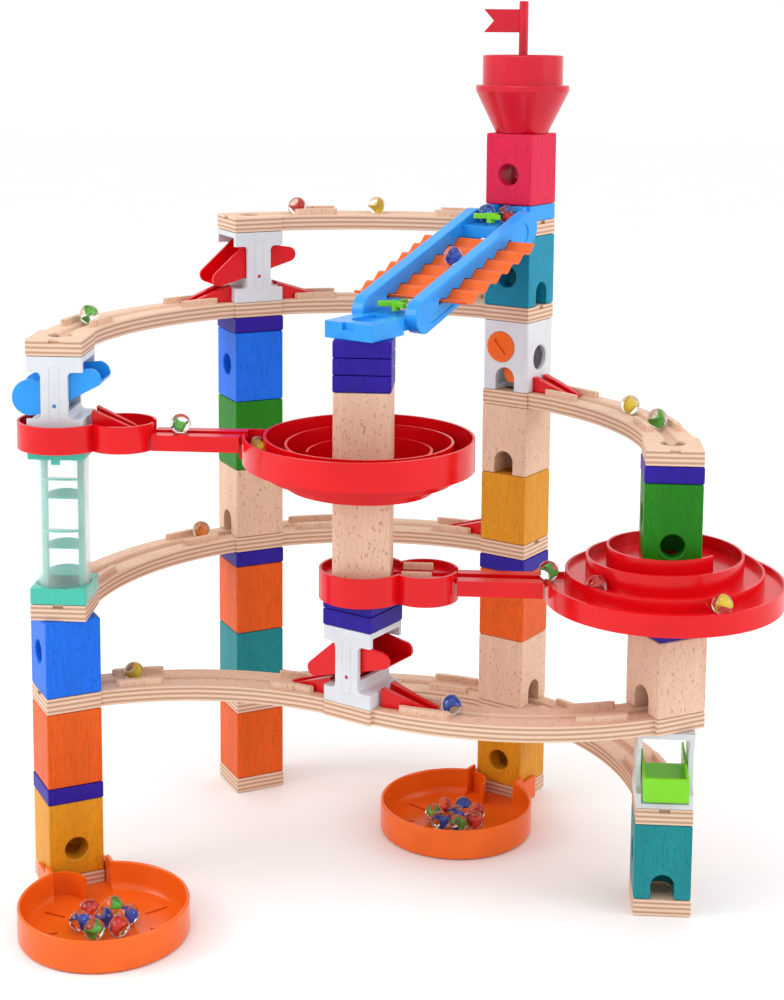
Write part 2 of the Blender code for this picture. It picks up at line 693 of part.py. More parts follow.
def ramp_stadium(start, end, radius, sides=9):
    """A rounded bar along the slope, in the ramp's side view."""
    tilt = math.degrees(RAMP_SLOPE)
    low = circle(radius, sides, ramp_point(start, 0.0), 90.0 + tilt, 180.0)
    high = circle(radius, sides, ramp_point(end, 0.0), 270.0 + tilt, 180.0)
    return low + high


def make_ramp():
    inner, outer = RAMP_WALL_INNER, RAMP_WALL_OUTER
    overlap = 0.001
    foot_low, foot_top = 0.4565, 0.4690
    head_low, head_top = level(7, 7), level(7, 8) - GAP
    low_floor, high_floor = 0.4690, 0.5270
    wall_length = 0.1715
    low_end, high_end = 0.060, 0.175
    far_end = SPACING - HALF - GAP
    outline = ramp_stadium(0.0, wall_length, RAMP_WALL_RADIUS)
    slot = ramp_stadium(0.0225, 0.1400, 0.0031, 5)
    piece = box("ramp_body", (0.0225 - overlap, low_end), (-inner - overlap, inner + overlap),
                (0.4590, low_floor))
    join(piece, box("high_floor", (high_end, far_end), (-inner - overlap, inner + overlap),
                    (0.5170, high_floor)))
    for side in (-1, 1):
        near, far = sorted((side * inner, side * outer))
        wall = prism("side_wall", outline, near, far, "Y")
        cut(wall, prism("slot", slot, near - 0.001, far + 0.001, "Y"))
        join(piece, wall)
    join(piece, prism("foot_plate", square(), foot_low, foot_top + 0.0007))
    join(piece, box("back_wall", (0.2100, far_end), (-inner - 0.0005, inner + 0.0005),
                    (0.5200, head_top)))
    join(piece, box("bridge", (0.2120, SPACING - HALF + 0.001), (-inner, inner),
                    (head_low + 0.0005, head_top)))
    head = prism("head_plate", square(), head_low, head_top)
    join(piece, moved(head, (SPACING, 0.0, 0.0)))
    gutter = 0.009
    cut(piece, box("head_gutter", (0.2000, SPACING), (-gutter, gutter), (0.5310, head_top + PAST)))
    cut(piece, cylinder("head_well", BORE, 0.5310, head_top + 0.001, centre=(SPACING, 0.0)))
    cut(piece, box("foot_gutter", (0.0, 0.026), (-gutter, gutter), (0.4670, 0.4720)))
    cut(piece, cylinder("foot_hole", BORE, foot_low - 0.001, 0.4720))
    notch = box("notch", (-HALF - 0.001, -HALF + 0.003), (-0.004, 0.004), (0.4660, 0.4720))
    cut(piece, notch)
    for along, floor in ((SPINNERS[0][1], low_floor), (SPINNERS[1][1], high_floor)):
        join(piece, cylinder("pin", 0.0015, floor - 0.001, floor + 0.0115, 10, (along, 0.0)))
    return put(piece, "sky_plastic", CENTRE_TOWER, 0.0, RAMP_TURN)


def make_wave_plate():
    """The wavy orange plate that lies through both side walls of the ramp."""
    waves, steps = 6, 6
    length = 0.1130
    start = 0.0247
    count = waves * steps
    thickness, height = 0.0020, 0.0018
    top, bottom = [], []
    for i in range(count + 1):
        along = start + length * i / count
        lift = height * math.cos(2 * math.pi * i / steps)
        top.append(ramp_point(along, lift + thickness / 2))
        bottom.append(ramp_point(along, lift - thickness / 2))
    plate = prism("wave_plate", top + bottom[::-1], -0.054, 0.054, "Y")
    put(plate, "orange_plastic", CENTRE_TOWER, 0.0, RAMP_TURN)


def make_spinners():
    """Three-bladed spinners on the ramp's two pins."""
    for name, along, base in SPINNERS:
        piece = cylinder(name, 0.0036, 0.0, 0.0085, 12)
        for i in range(3):
            blade = box("blade", (0.002, 0.0148), (-0.0016, 0.0016), (0.0006, 0.0079))
            join(piece, moved(blade, turn=120.0 * i))
        cut(piece, cylinder("bore", 0.0019, -0.001, 0.010, 12))
        x, y = CENTRE_TOWER
        angle = math.radians(RAMP_TURN)
        place = (x + along * math.cos(angle), y + along * math.sin(angle))
        put(piece, "lime_plastic", place, base, RAMP_TURN)


# The switch block, the funnel, the flag and the marbles

def make_switch():
    """A hollow white block with a turning knob whose lever sends marbles left or right."""
    tower, base, turn = "right_rear", level(5, 5), 60
    height = BLOCK_HEIGHT - GAP
    piece = prism("switch_block", square(BLOCK, 0.003), 0.0, height)
    cut(piece, box("room", (-0.0185, 0.0185), (-0.0185, 0.0185), (0.004, 0.0575)))
    cut(piece, cylinder("hole", BORE, 0.050, 0.070))
    cut(piece, arch_tool(180.0))
    cut(piece, exit_tool(-90.0, 0.029, 0.011))
    seat = cylinder("seat", 0.0138, -0.030, -0.010, 24, (KNOB_SIDE, KNOB_HEIGHT), "X")
    cut(piece, seat)
    put(piece, "white_plastic", tower_place(tower), base, turn)

    knob = cylinder("switch_knob", 0.0135, -0.0232, -0.0188, 24, axis="X")
    slot = box("slot", (-0.025, -0.0218), (-0.0085, 0.0085), (-0.0014, 0.0014))
    slot.data.transform(Matrix.Rotation(math.radians(48.0), 4, "X"))
    cut(knob, slot)
    join(knob, cylinder("axle", 0.004, -0.0190, -0.0120, 12, axis="X"))
    lever = [(-0.0045, 0.0)] + circle(0.006, 7, (0.0, -0.0270), 180.0, 180.0) + [(0.0045, 0.0)]
    arm = prism("lever", lever, -0.0165, -0.0125, "X")
    arm.data.transform(Matrix.Rotation(math.radians(-15.0), 4, "X"))
    join(knob, arm)
    x, y = tower_place(tower)
    angle = math.radians(turn)
    place = (x - KNOB_SIDE * math.sin(angle), y + KNOB_SIDE * math.cos(angle))
    put(knob, "orange_plastic", place, base + KNOB_HEIGHT, turn)


def make_funnel_and_flag():
    base = level(8, 8)
    place = tower_place("right_rear")
    profile = [(0.0100, 0.0), (0.0230, 0.0), (0.0408, 0.0360), (0.0408, 0.0412), (0.0350, 0.0412),
               (0.0350, 0.0670), (0.0320, 0.0670), (0.0320, 0.0380), (0.0300, 0.0380), (0.0100, 0.0060)]
    put(revolve("funnel", profile, 24), "crimson_plastic", place, base)

    foot, top = 0.0383, 0.1135
    flag = cylinder("flag", 0.004, foot, top, 14)
    for i in range(3):
        leg = box("leg", (0.002, 0.0316), (-0.00125, 0.00125), (foot, foot + 0.008))
        join(flag, moved(leg, turn=30.0 + 120.0 * i))
    low, high, far = 0.0865, 0.1065, 0.0345
    middle = (low + high) / 2
    banner = [(-0.002, low), (-0.002, high), (-far, high), (-far + 0.0085, middle), (-far, low)]
    join(flag, prism("banner", banner, -0.0010, 0.0010, "Y"))
    put(flag, "crimson_plastic", place, base)


def make_marbles():
    """Three marbles, each on its own rail, that roll round the rail's centre."""
    marbles = (("upper_rail_marble", 165.0, level(6, 6)), ("middle_rail_marble", 132.0, level(3, 4)),
               ("right_rail_marble", 27.0, level(5, 5)))
    for name, degrees, rail_top in marbles:
        builder = bmesh.new()
        bmesh.ops.create_icosphere(builder, subdivisions=2, radius=MARBLE_RADIUS)
        piece = new_piece(name, builder)
        groove_sag = 0.0015
        x, y = grid_point(degrees)
        lift = rail_top - GAP + MARBLE_RADIUS - groove_sag + GAP
        piece.data.transform(Matrix.Translation((x, y, lift)))
        put(piece, "glass", CENTRE_TOWER, 0.0, smooth=True)


def make_blocks():
    """Every tower's blocks, spacers and base plate, from the floor up."""
    tower = "left_front"
    base_plate("left_front_base_plate", tower, 30)
    block("left_front_yellow_block", "yellow_paint", tower, level(0, 1), 30,
          holes=[(300, 0.022)], bore_from=0.012, spacer=True)
    block("left_front_orange_block", "orange_paint", tower, level(1, 2), 30)
    block("left_front_blue_block", "blue_paint", tower, level(2, 3), 30, holes=[(210, 0.033)])

    tower = "left_rear"
    base_plate("left_rear_base_plate", tower, 30)
    block("left_rear_lower_orange_block", "orange_paint", tower, level(0, 1), 30)
    block("left_rear_teal_block", "teal_paint", tower, level(1, 2), 30, arches=[30])
    block("left_rear_upper_orange_block", "orange_paint", tower, level(2, 2), 30, spacer=True)
    block("left_rear_beech_block", "beech", tower, level(3, 4), 30, arches=[210])
    block("left_rear_green_block", "green_paint", tower, level(4, 4), 30, holes=[(210, 0.022)])
    block("left_rear_blue_block", "blue_paint", tower, level(5, 4), 30, holes=[(210, 0.031)],
          spacer=True)

    tower = "centre"
    spacer_stack("centre_lower_spacers", tower, level(3, 3), 2, 60)
    block("centre_lower_beech_block", "beech", tower, level(3, 6), 0)
    upper = level(3, 6) + BLOCK_HEIGHT + BOWL_HUB
    block("centre_upper_beech_block", "beech", tower, upper, 0)
    spacer_stack("centre_upper_spacers", tower, upper + BLOCK_HEIGHT, 3, 0)

    tower = "right_rear"
    base_plate("right_rear_base_plate", tower, 60)
    block("right_rear_lower_yellow_block", "yellow_paint", tower, level(0, 1), 60,
          holes=[(240, 0.022)], bore_from=0.012)
    block("right_rear_lower_beech_block", "beech", tower, level(1, 2), 60, arches=[330])
    block("right_rear_orange_block", "orange_paint", tower, level(2, 2), 60, spacer=True)
    block("right_rear_upper_yellow_block", "yellow_paint", tower, level(3, 4), 60, arches=[150])
    block("right_rear_upper_beech_block", "beech", tower, level(4, 4), 60, arches=[240])
    block("right_rear_teal_block", "teal_paint", tower, level(6, 6), 60, holes=[(240, 0.026)],
          arches=[330])
    block("crimson_block", "crimson_paint", tower, level(7, 8), 60, holes=[(240, 0.026), (60, 0.026)])

    tower = "right_front"
    base_plate("right_front_base_plate", tower, 0)
    block("right_front_teal_block", "teal_paint", tower, level(0, 1), 0,
          holes=[(180, 0.031)], arches=[270])
    block("right_front_beech_block", "beech", tower, level(2, 3), 30, arches=[210], spacer=True)
    block("right_front_green_block", "green_paint", tower, level(3, 4) + MOUND_HUB, 0,
          holes=[(270, 0.0125), (180, 0.031)], spacer=True)


def clear_scene():
    for old in list(bpy.data.objects):
        bpy.data.objects.remove(old, do_unlink=True)


def main():
    clear_scene()
    make_blocks()
    make_rails()
    make_rail_plug()
    make_seesaws()
    make_spiral_tracks()
    catch_bowl("left_catch_bowl", "left_front", 300)
    catch_bowl("right_catch_bowl", "right_rear", 240)
    make_tube_tower()
    make_ramp()
    make_wave_plate()
    make_spinners()
    make_switch()
    make_funnel_and_flag()
    make_marbles()


main()
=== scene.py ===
# %% [markdown]
# # A wooden marble run
#
# Five towers of wooden blocks stand on a hexagonal grid and carry curved plywood rails, two red
# spiral tracks, a ramp, three rocking troughs and a tipping tray. Glass marbles roll down it.
#
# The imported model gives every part's place. It is loaded first, and nothing in it is moved: each
# finer piece made below is put where the plain part is, and rides on the same moving body.

# %% Load the fixed frame
import json
import math
import random

import bpy
from mathutils import Matrix, Vector

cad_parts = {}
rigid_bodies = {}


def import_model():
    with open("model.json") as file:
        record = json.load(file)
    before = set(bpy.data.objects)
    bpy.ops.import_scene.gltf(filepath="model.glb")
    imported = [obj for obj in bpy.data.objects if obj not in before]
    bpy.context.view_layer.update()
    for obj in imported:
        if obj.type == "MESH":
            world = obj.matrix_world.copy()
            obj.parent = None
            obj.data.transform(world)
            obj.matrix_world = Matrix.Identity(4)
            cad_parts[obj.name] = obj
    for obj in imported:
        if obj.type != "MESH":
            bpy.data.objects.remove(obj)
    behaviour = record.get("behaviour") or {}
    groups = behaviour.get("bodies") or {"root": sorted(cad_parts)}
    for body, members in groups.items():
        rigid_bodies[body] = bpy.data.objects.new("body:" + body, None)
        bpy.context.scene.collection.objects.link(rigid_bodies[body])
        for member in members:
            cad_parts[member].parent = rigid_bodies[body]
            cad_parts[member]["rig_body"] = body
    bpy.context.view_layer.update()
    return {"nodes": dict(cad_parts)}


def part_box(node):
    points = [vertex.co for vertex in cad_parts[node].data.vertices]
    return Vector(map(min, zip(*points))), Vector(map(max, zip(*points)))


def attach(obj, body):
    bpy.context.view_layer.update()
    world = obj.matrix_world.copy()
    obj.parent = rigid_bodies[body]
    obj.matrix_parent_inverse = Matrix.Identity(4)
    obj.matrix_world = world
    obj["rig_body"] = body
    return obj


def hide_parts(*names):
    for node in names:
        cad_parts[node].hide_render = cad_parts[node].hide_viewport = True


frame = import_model()

# %% [markdown]
# The towers' middles and the heights of the blocks come from the parts themselves. A block that is
# turned in plan still has its tower's middle at the middle of its box, so the box is enough.

# %% Towers and sizes
def middle_of(node):
    low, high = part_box(node)
    return Vector(((low.x + high.x) / 2, (low.y + high.y) / 2, 0.0))


def foot_of(node):
    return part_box(node)[0].z


def top_of(node):
    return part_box(node)[1].z


TOWERS = {
    "left_front": middle_of("left_front_base_plate"),
    "left_rear": middle_of("left_rear_base_plate"),
    "centre": middle_of("centre_lower_beech_block"),
    "right_rear": middle_of("right_rear_base_plate"),
    "right_front": middle_of("right_front_base_plate"),
}
CENTRE = TOWERS["centre"]
SPACING = 0.240         # between towers, and the radius of every rail
BLOCK = 0.045
HALF = BLOCK / 2
BLOCK_HEIGHT = 0.062
PLATE = 0.0135          # thickness of a rail or a spacer
GAP = 0.0003            # air between touching pieces
BORE = 0.010
EXIT = 0.0095
MARBLE = 0.008          # radius
SKIN = 0.002            # wall of the red plastic
MOULD_CORNER = 0.0016   # rounding of a moulded plate's corners
STATIC = "marble_run"
print("towers:", {name: (round(p.x, 4), round(p.y, 4)) for name, p in TOWERS.items()})


def on_circle(centre, radius, degrees, height=0.0):
    """The point on a circle round a tower, or round a rail's centre, at an angle in plan."""
    angle = math.radians(degrees)
    return Vector((centre.x + radius * math.cos(angle), centre.y + radius * math.sin(angle), height))


def between(side, *reaches):
    """Two distances on one side of the middle, in rising order."""
    return sorted(side * reach for reach in reaches)


# %% [markdown]
# Blender's operators act on whatever is selected, so a piece is always taken alone first. These
# helpers are the hands for the rest: take a piece, apply a modifier to it, join or carve it with
# another solid, and put it in its place by moving its mesh, so that the object itself stays at the
# origin.

# %% Hands
def deselect():
    if bpy.context.mode != "OBJECT":
        bpy.ops.object.mode_set(mode="OBJECT")
    bpy.ops.object.select_all(action="DESELECT")


def take(piece):
    deselect()
    piece.select_set(True)
    bpy.context.view_layer.objects.active = piece
    return piece


def edit_all(piece, *steps):
    """Enters edit mode with everything selected and does each step."""
    take(piece)
    bpy.ops.object.mode_set(mode="EDIT")
    bpy.ops.mesh.select_all(action="SELECT")
    for step in steps:
        step()
    bpy.ops.object.mode_set(mode="OBJECT")
    return piece


def face_out():
    bpy.ops.mesh.normals_make_consistent(inside=False)


def with_modifier(piece, kind, **settings):
    take(piece)
    modifier = piece.modifiers.new(kind.lower(), kind)
    for key, value in settings.items():
        setattr(modifier, key, value)
    bpy.ops.object.modifier_apply(modifier=modifier.name)
    return piece


def combine(piece, operation, tools):
    for tool in tools:
        with_modifier(piece, "BOOLEAN", operation=operation, solver="EXACT", object=tool)
        bpy.data.objects.remove(tool, do_unlink=True)
    return piece


def weld(piece, *tools):
    return combine(piece, "UNION", tools)


def carve(piece, *tools):
    return combine(piece, "DIFFERENCE", tools)


def round_edges(piece, width=0.0005, segments=2, angle=32.0):
    """Small rounded edges wherever two faces meet sharply."""
    return with_modifier(piece, "BEVEL", width=width, segments=segments, limit_method="ANGLE",
                         angle_limit=math.radians(angle), harden_normals=False)


def moved(piece, offset=(0.0, 0.0, 0.0), turn=0.0, tilt=None):
    """Turns the mesh about Z by degrees, after a tilt matrix, and shifts it."""
    matrix = Matrix.Translation(Vector(offset)) @ Matrix.Rotation(math.radians(turn), 4, "Z")
    if tilt is not None:
        matrix = matrix @ tilt
    piece.data.transform(matrix)
    return piece


def stood(piece, tower, height, turn=0.0):
    """Stands a piece on a tower at a height."""
    spot = TOWERS[tower]
    return moved(piece, (spot.x, spot.y, height), turn)


def tilt_about(degrees, axis):
    return Matrix.Rotation(math.radians(degrees), 4, axis)


# %% [markdown]
# Nearly every piece starts as one of five simple workpieces: a planed plank, a round bar, a sawn
# outline, a profile turned on a lathe, or a profile swept along an arc. Each starts from a Blender
# primitive and is shaped in edit mode, with the same moves that a modeller makes by hand.

# %% Plank, bar and sawn outline
def plank(name, x_range, y_range, z_range, edge=0.0, segments=2):
    deselect()
    size = [high - low for low, high in (x_range, y_range, z_range)]
    middle = [(high + low) / 2 for low, high in (x_range, y_range, z_range)]
    bpy.ops.mesh.primitive_cube_add(size=1.0, location=middle)
    piece = bpy.context.object
    piece.name = name
    piece.scale = size
    bpy.ops.object.transform_apply(location=True, rotation=True, scale=True)
    if edge:
        edit_all(piece, lambda: bpy.ops.mesh.bevel(offset=edge, segments=segments, affect="EDGES"))
    return piece


AXES = {
    "X": lambda a, b, c: (c, a, b),
    "Y": lambda a, b, c: (a, c, b),
    "Z": lambda a, b, c: (a, b, c),
}


def sawn(name, corners, low, high, axis="Z"):
    """A flat outline, its corners set round a filled circle's rim, then extruded."""
    deselect()
    bpy.ops.mesh.primitive_circle_add(vertices=len(corners), radius=0.01, fill_type="NGON")
    piece = bpy.context.object
    piece.name = name
    place = AXES[axis]
    for vertex, (a, b) in zip(piece.data.vertices, corners):
        vertex.co = place(a, b, low)
    depth = place(0.0, 0.0, high - low)
    pull = {"value": depth}
    return edit_all(piece, lambda: bpy.ops.mesh.extrude_region_move(TRANSFORM_OT_translate=pull),
                    lambda: bpy.ops.mesh.select_all(action="SELECT"), face_out)


def arc(radius, count, centre=(0.0, 0.0), start=0.0, sweep=360.0):
    """Points round a circle, or round part of one with both its ends."""
    steps = count if sweep == 360.0 else count - 1
    angles = [math.radians(start + sweep * i / steps) for i in range(count)]
    return [(centre[0] + radius * math.cos(a), centre[1] + radius * math.sin(a)) for a in angles]


def bar(name, radius, low, high, place=(0.0, 0.0), axis="Z", sides=48):
    return sawn(name, arc(radius, sides, place, 180.0 / sides), low, high, axis)


def square(side=BLOCK, corner=0.002, steps=4):
    """A square outline with rounded corners."""
    reach = side / 2 - corner
    points = []
    for start, x, y in ((0, 1, 1), (90, -1, 1), (180, -1, -1), (270, 1, -1)):
        points += arc(corner, steps, (x * reach, y * reach), start, 90.0)
    return points


sample = sawn("sample", square(), 0.0, PLATE)
print("a sawn square has", len(sample.data.polygons), "faces")
bpy.data.objects.remove(sample, do_unlink=True)


# %% Turned and swept profiles
def close_seam():
    bpy.ops.mesh.select_all(action="SELECT")
    bpy.ops.mesh.remove_doubles(threshold=0.000001)


def turned(name, profile, steps=72, from_axis=False):
    """A profile of (radius, height) points spun once round Z, as on a lathe.

    A profile that starts and ends on the axis is left open, so no edge lies on the axis.
    """
    deselect()
    bpy.ops.mesh.primitive_circle_add(vertices=len(profile), radius=0.01, fill_type="NOTHING")
    piece = bpy.context.object
    piece.name = name
    for vertex, (radius, height) in zip(piece.data.vertices, profile):
        vertex.co = (radius, 0.0, height)
    if from_axis:
        last = {0, len(profile) - 1}
        for edge in piece.data.edges:
            edge.select = set(edge.vertices) == last
        for vertex in piece.data.vertices:
            vertex.select = vertex.index in last
        bpy.context.tool_settings.mesh_select_mode = (False, True, False)
        take(piece)
        bpy.ops.object.mode_set(mode="EDIT")
        bpy.ops.mesh.delete(type="EDGE")
        bpy.ops.object.mode_set(mode="OBJECT")
    spin = {"steps": steps, "angle": 2 * math.pi, "center": (0, 0, 0), "axis": (0, 0, -1)}
    return edit_all(piece, lambda: bpy.ops.mesh.spin(use_auto_merge=True, **spin), close_seam, face_out)


def swept(name, profile, centre, radius, start, end, steps):
    """A filled profile of (outwards, height) points carried round an arc."""
    deselect()
    bpy.ops.mesh.primitive_circle_add(vertices=len(profile), radius=0.01, fill_type="NGON")
    piece = bpy.context.object
    piece.name = name
    for vertex, (out, height) in zip(piece.data.vertices, profile):
        vertex.co = on_circle(centre, radius + out, start, height)
    spin = {"steps": steps, "angle": math.radians(end - start), "center": (centre.x, centre.y, 0),
            "axis": (0, 0, -1)}
    return edit_all(piece, lambda: bpy.ops.mesh.spin(**spin),
                    lambda: bpy.ops.mesh.select_all(action="SELECT"), face_out)


ring = turned("sample", [(0.010, 0.0), (0.012, 0.0), (0.012, 0.002), (0.010, 0.002)])
print("a turned ring has", len(ring.data.polygons), "faces")
bpy.data.objects.remove(ring, do_unlink=True)

# %% [markdown]
# ## Finishes
#
# Every finish is built from nodes. A maker sees three kinds here: beech with its fine dark flecks,
# clear or stained; birch plywood, whose edge shows its layers; and moulded plastic, glossy, with a
# skin that is never perfectly even. The patterns read Object coordinates, which are metres here,
# so a scale of 600 means features about 1.7 mm across.

# %% Node helpers
FINISHES = {}


def new_finish(name, roughness, **sockets):
    material = bpy.data.materials.new(name)
    material.use_nodes = True
    shader = material.node_tree.nodes["Principled BSDF"]
    shader.inputs["Roughness"].default_value = roughness
    for socket, value in sockets.items():
        shader.inputs[socket.replace("_", " ")].default_value = value
    FINISHES[name] = material
    return material, shader


def add_node(material, kind, wires=None, **settings):
    """Adds a node; wires are its inputs, each a value or another node's output."""
    made = material.node_tree.nodes.new(kind)
    for key, value in settings.items():
        setattr(made, key, value)
    for socket, value in (wires or {}).items():
        if isinstance(value, bpy.types.NodeSocket):
            material.node_tree.links.new(value, made.inputs[socket])
        else:
            made.inputs[socket].default_value = value
    return made


def stretched_place(material, stretch=(1.0, 1.0, 1.0)):
    place = add_node(material, "ShaderNodeTexCoord").outputs["Object"]
    return add_node(material, "ShaderNodeMapping", {"Vector": place, "Scale": stretch}).outputs["Vector"]


def noise(material, place, scale, detail=3.0, roughness=0.55):
    wires = {"Vector": place, "Scale": scale, "Detail": detail, "Roughness": roughness}
    return add_node(material, "ShaderNodeTexNoise", wires).outputs["Fac"]


def ramp(material, value, stops):
    """A colour ramp; a stop is (position, colour), where a colour may be one grey number."""
    made = add_node(material, "ShaderNodeValToRGB", {"Fac": value})
    points = made.color_ramp.elements
    while len(points) < len(stops):
        points.new(0.5)
    for point, (position, colour) in zip(points, stops):
        point.position = position
        if not isinstance(colour, tuple):
            colour = (colour, colour, colour)
        point.color = (*colour, 1.0)
    return made.outputs["Color"]


def blended(material, amount, first, second):
    made = add_node(material, "ShaderNodeMix", data_type="RGBA")
    for index, value in ((0, amount), (6, first), (7, second)):
        if isinstance(value, bpy.types.NodeSocket):
            material.node_tree.links.new(value, made.inputs[index])
        else:
            made.inputs[index].default_value = value if index == 0 else (*value, 1.0)
    return made.outputs[2]


def calculated(material, operation, first, second):
    return add_node(material, "ShaderNodeMath", {0: first, 1: second}, operation=operation).outputs[0]


def add_bump(material, shader, height, strength, distance):
    wires = {"Height": height, "Strength": strength, "Distance": distance}
    normal = add_node(material, "ShaderNodeBump", wires).outputs["Normal"]
    material.node_tree.links.new(normal, shader.inputs["Normal"])


def colour_from(material, shader, colour):
    material.node_tree.links.new(colour, shader.inputs["Base Color"])


def roughness_between(material, shader, value, low, high):
    spread = add_node(material, "ShaderNodeMapRange", {"Value": value, "To Min": low, "To Max": high})
    material.node_tree.links.new(spread.outputs["Result"], shader.inputs["Roughness"])


# %% [markdown]
# Beech is told by its flecks: short dark dashes, under a millimetre wide, that run with the grain.
# A slow, long noise gives the broad figure, a fine one the pores, and a third, cut off hard, the
# flecks. A stain hides the figure but the pores and flecks still show through it.

# %% Beech and stained beech
GRAIN = {"Z": (1.0, 1.0, 0.09), "X": (0.09, 1.0, 1.0)}


def tone(colour, factor):
    return tuple(min(1.0, channel * factor) for channel in colour)


def wood_colour(material, colour, fleck, contrast, grain):
    stretch = GRAIN[grain]
    place = stretched_place(material, stretch)
    figure = noise(material, place, 42.0, 2.0)
    pores = noise(material, place, 700.0, 4.0, 0.7)
    dashes_place = stretched_place(material, tuple(0.45 if s < 1.0 else s for s in stretch))
    dashes = noise(material, dashes_place, 620.0, 1.0, 0.4)
    pale, deep = tone(colour, 1.0 + contrast), tone(colour, 1.0 - contrast)
    broad = ramp(material, figure, [(0.30, deep), (0.70, pale)])
    dark = tone(colour, 1.0 - 2.2 * contrast)
    fine = blended(material, ramp(material, pores, [(0.44, 0.0), (0.64, 0.85)]), broad, dark)
    cover = ramp(material, dashes, [(0.64, 0.0), (0.72, 0.75)])
    return blended(material, cover, fine, fleck), pores


def wood_finish(name, colour, fleck, contrast=0.07, roughness=0.5, coat=0.0, grain="Z"):
    material, shader = new_finish(name, roughness, Coat_Weight=coat, Coat_Roughness=0.35,
                                  Specular_IOR_Level=0.18)
    mixed, pores = wood_colour(material, colour, fleck, contrast, grain)
    colour_from(material, shader, mixed)
    roughness_between(material, shader, pores, roughness - 0.06, roughness + 0.12)
    add_bump(material, shader, pores, 0.12, 0.0002)
    return material


BEECH = (0.735, 0.500, 0.360)
FLECK = (0.42, 0.22, 0.13)
wood_finish("beech", BEECH, FLECK, 0.06)
wood_finish("ply", BEECH, FLECK, 0.05, grain="X")
STAINS = {
    "indigo_paint": (0.022, 0.008, 0.300),
    "yellow_paint": (0.700, 0.290, 0.012),
    "orange_paint": (0.740, 0.105, 0.008),
    "blue_paint": (0.008, 0.150, 0.800),
    "teal_paint": (0.010, 0.235, 0.260),
    "upper_teal_paint": (0.005, 0.240, 0.370),
    "green_paint": (0.014, 0.200, 0.006),
    "crimson_paint": (0.660, 0.010, 0.060),
}
for name, colour in STAINS.items():
    wood_finish(name, colour, tone(colour, 0.62), 0.10, 0.42)
print("wood finishes:", sorted(FINISHES))

# %% [markdown]
# The edge of a plywood rail shows thin layers, one pale and one darker, as the grain of each layer
# runs across its neighbour's. Each rail lies at its own height, so every rail's points carry their
# own height in the rail, from 0 to 1, as an attribute, and the layers are a ramp over that. The
# top face has a smooth veneer instead, and the face's own normal tells the two apart.

# %% Plywood
LAYERS = 7
ply = FINISHES["ply"]
ply_shader = ply.node_tree.nodes["Principled BSDF"]
height = add_node(ply, "ShaderNodeAttribute", attribute_name="ply_height").outputs["Fac"]
wobble = noise(ply, stretched_place(ply), 55.0, 2.0)
wobble = calculated(ply, "MULTIPLY", calculated(ply, "SUBTRACT", wobble, 0.5), 0.035)
stripe = calculated(ply, "ADD", height, wobble)
stripe = calculated(ply, "MULTIPLY", stripe, LAYERS * math.pi)
stripe = calculated(ply, "SINE", stripe, 0.0)
stripe = calculated(ply, "MULTIPLY", calculated(ply, "ADD", stripe, 1.0), 0.5)
edge_colour = ramp(ply, stripe, [(0.14, (0.46, 0.280, 0.185)), (0.45, (0.62, 0.415, 0.290)),
                                 (0.80, (0.76, 0.540, 0.400))])
normal = add_node(ply, "ShaderNodeNewGeometry").outputs["Normal"]
upright = add_node(ply, "ShaderNodeSeparateXYZ", {"Vector": normal}).outputs["Z"]
upright = calculated(ply, "ABSOLUTE", upright, 0.0)
is_face = ramp(ply, upright, [(0.45, 0.0), (0.75, 1.0)])
veneer = ply_shader.inputs["Base Color"].links[0].from_socket
colour_from(ply, ply_shader, blended(ply, is_face, edge_colour, veneer))
print("plywood layers:", LAYERS)

# %% [markdown]
# Moulded plastic is glossy, but a flat colour looks like paint on a screen. Its colour shifts by a
# few hundredths, its gloss varies in soft patches, and the skin has a very shallow ripple from the
# mould, which breaks the reflections of the lights.

# %% Plastics, clear tube and glass
def plastic_finish(name, colour, roughness=0.22, coat=0.06, ripple=0.10):
    material, shader = new_finish(name, roughness, Coat_Weight=coat, Coat_Roughness=0.06,
                                  Specular_IOR_Level=0.28)
    place = stretched_place(material)
    patches = noise(material, place, 28.0, 2.0)
    skin = noise(material, place, 240.0, 2.0)
    tones = [(0.25, tone(colour, 0.90)), (0.75, tone(colour, 1.06))]
    colour_from(material, shader, ramp(material, patches, tones))
    roughness_between(material, shader, patches, roughness - 0.05, roughness + 0.07)
    add_bump(material, shader, skin, ripple, 0.0001)
    return material


PLASTICS = {
    "red_plastic": (0.680, 0.002, 0.006),
    "crimson_plastic": (0.560, 0.006, 0.022),
    "white_plastic": (0.640, 0.670, 0.710),
    "sky_plastic": (0.020, 0.300, 0.820),
    "orange_plastic": (0.820, 0.125, 0.008),
    "lime_plastic": (0.200, 0.640, 0.015),
    "mint_plastic": (0.060, 0.500, 0.390),
}
for name, colour in PLASTICS.items():
    plastic_finish(name, colour)


def clear_finish(name, colour, ior, roughness):
    material, shader = new_finish(name, roughness, Transmission_Weight=1.0, IOR=ior)
    haze = noise(material, stretched_place(material), 60.0, 2.0)
    colour_from(material, shader, ramp(material, haze, [(0.2, tone(colour, 0.96)), (0.8, colour)]))
    roughness_between(material, shader, haze, roughness, roughness + 0.02)
    return material


clear_finish("glass", (0.92, 0.98, 0.95), 1.45, 0.0)

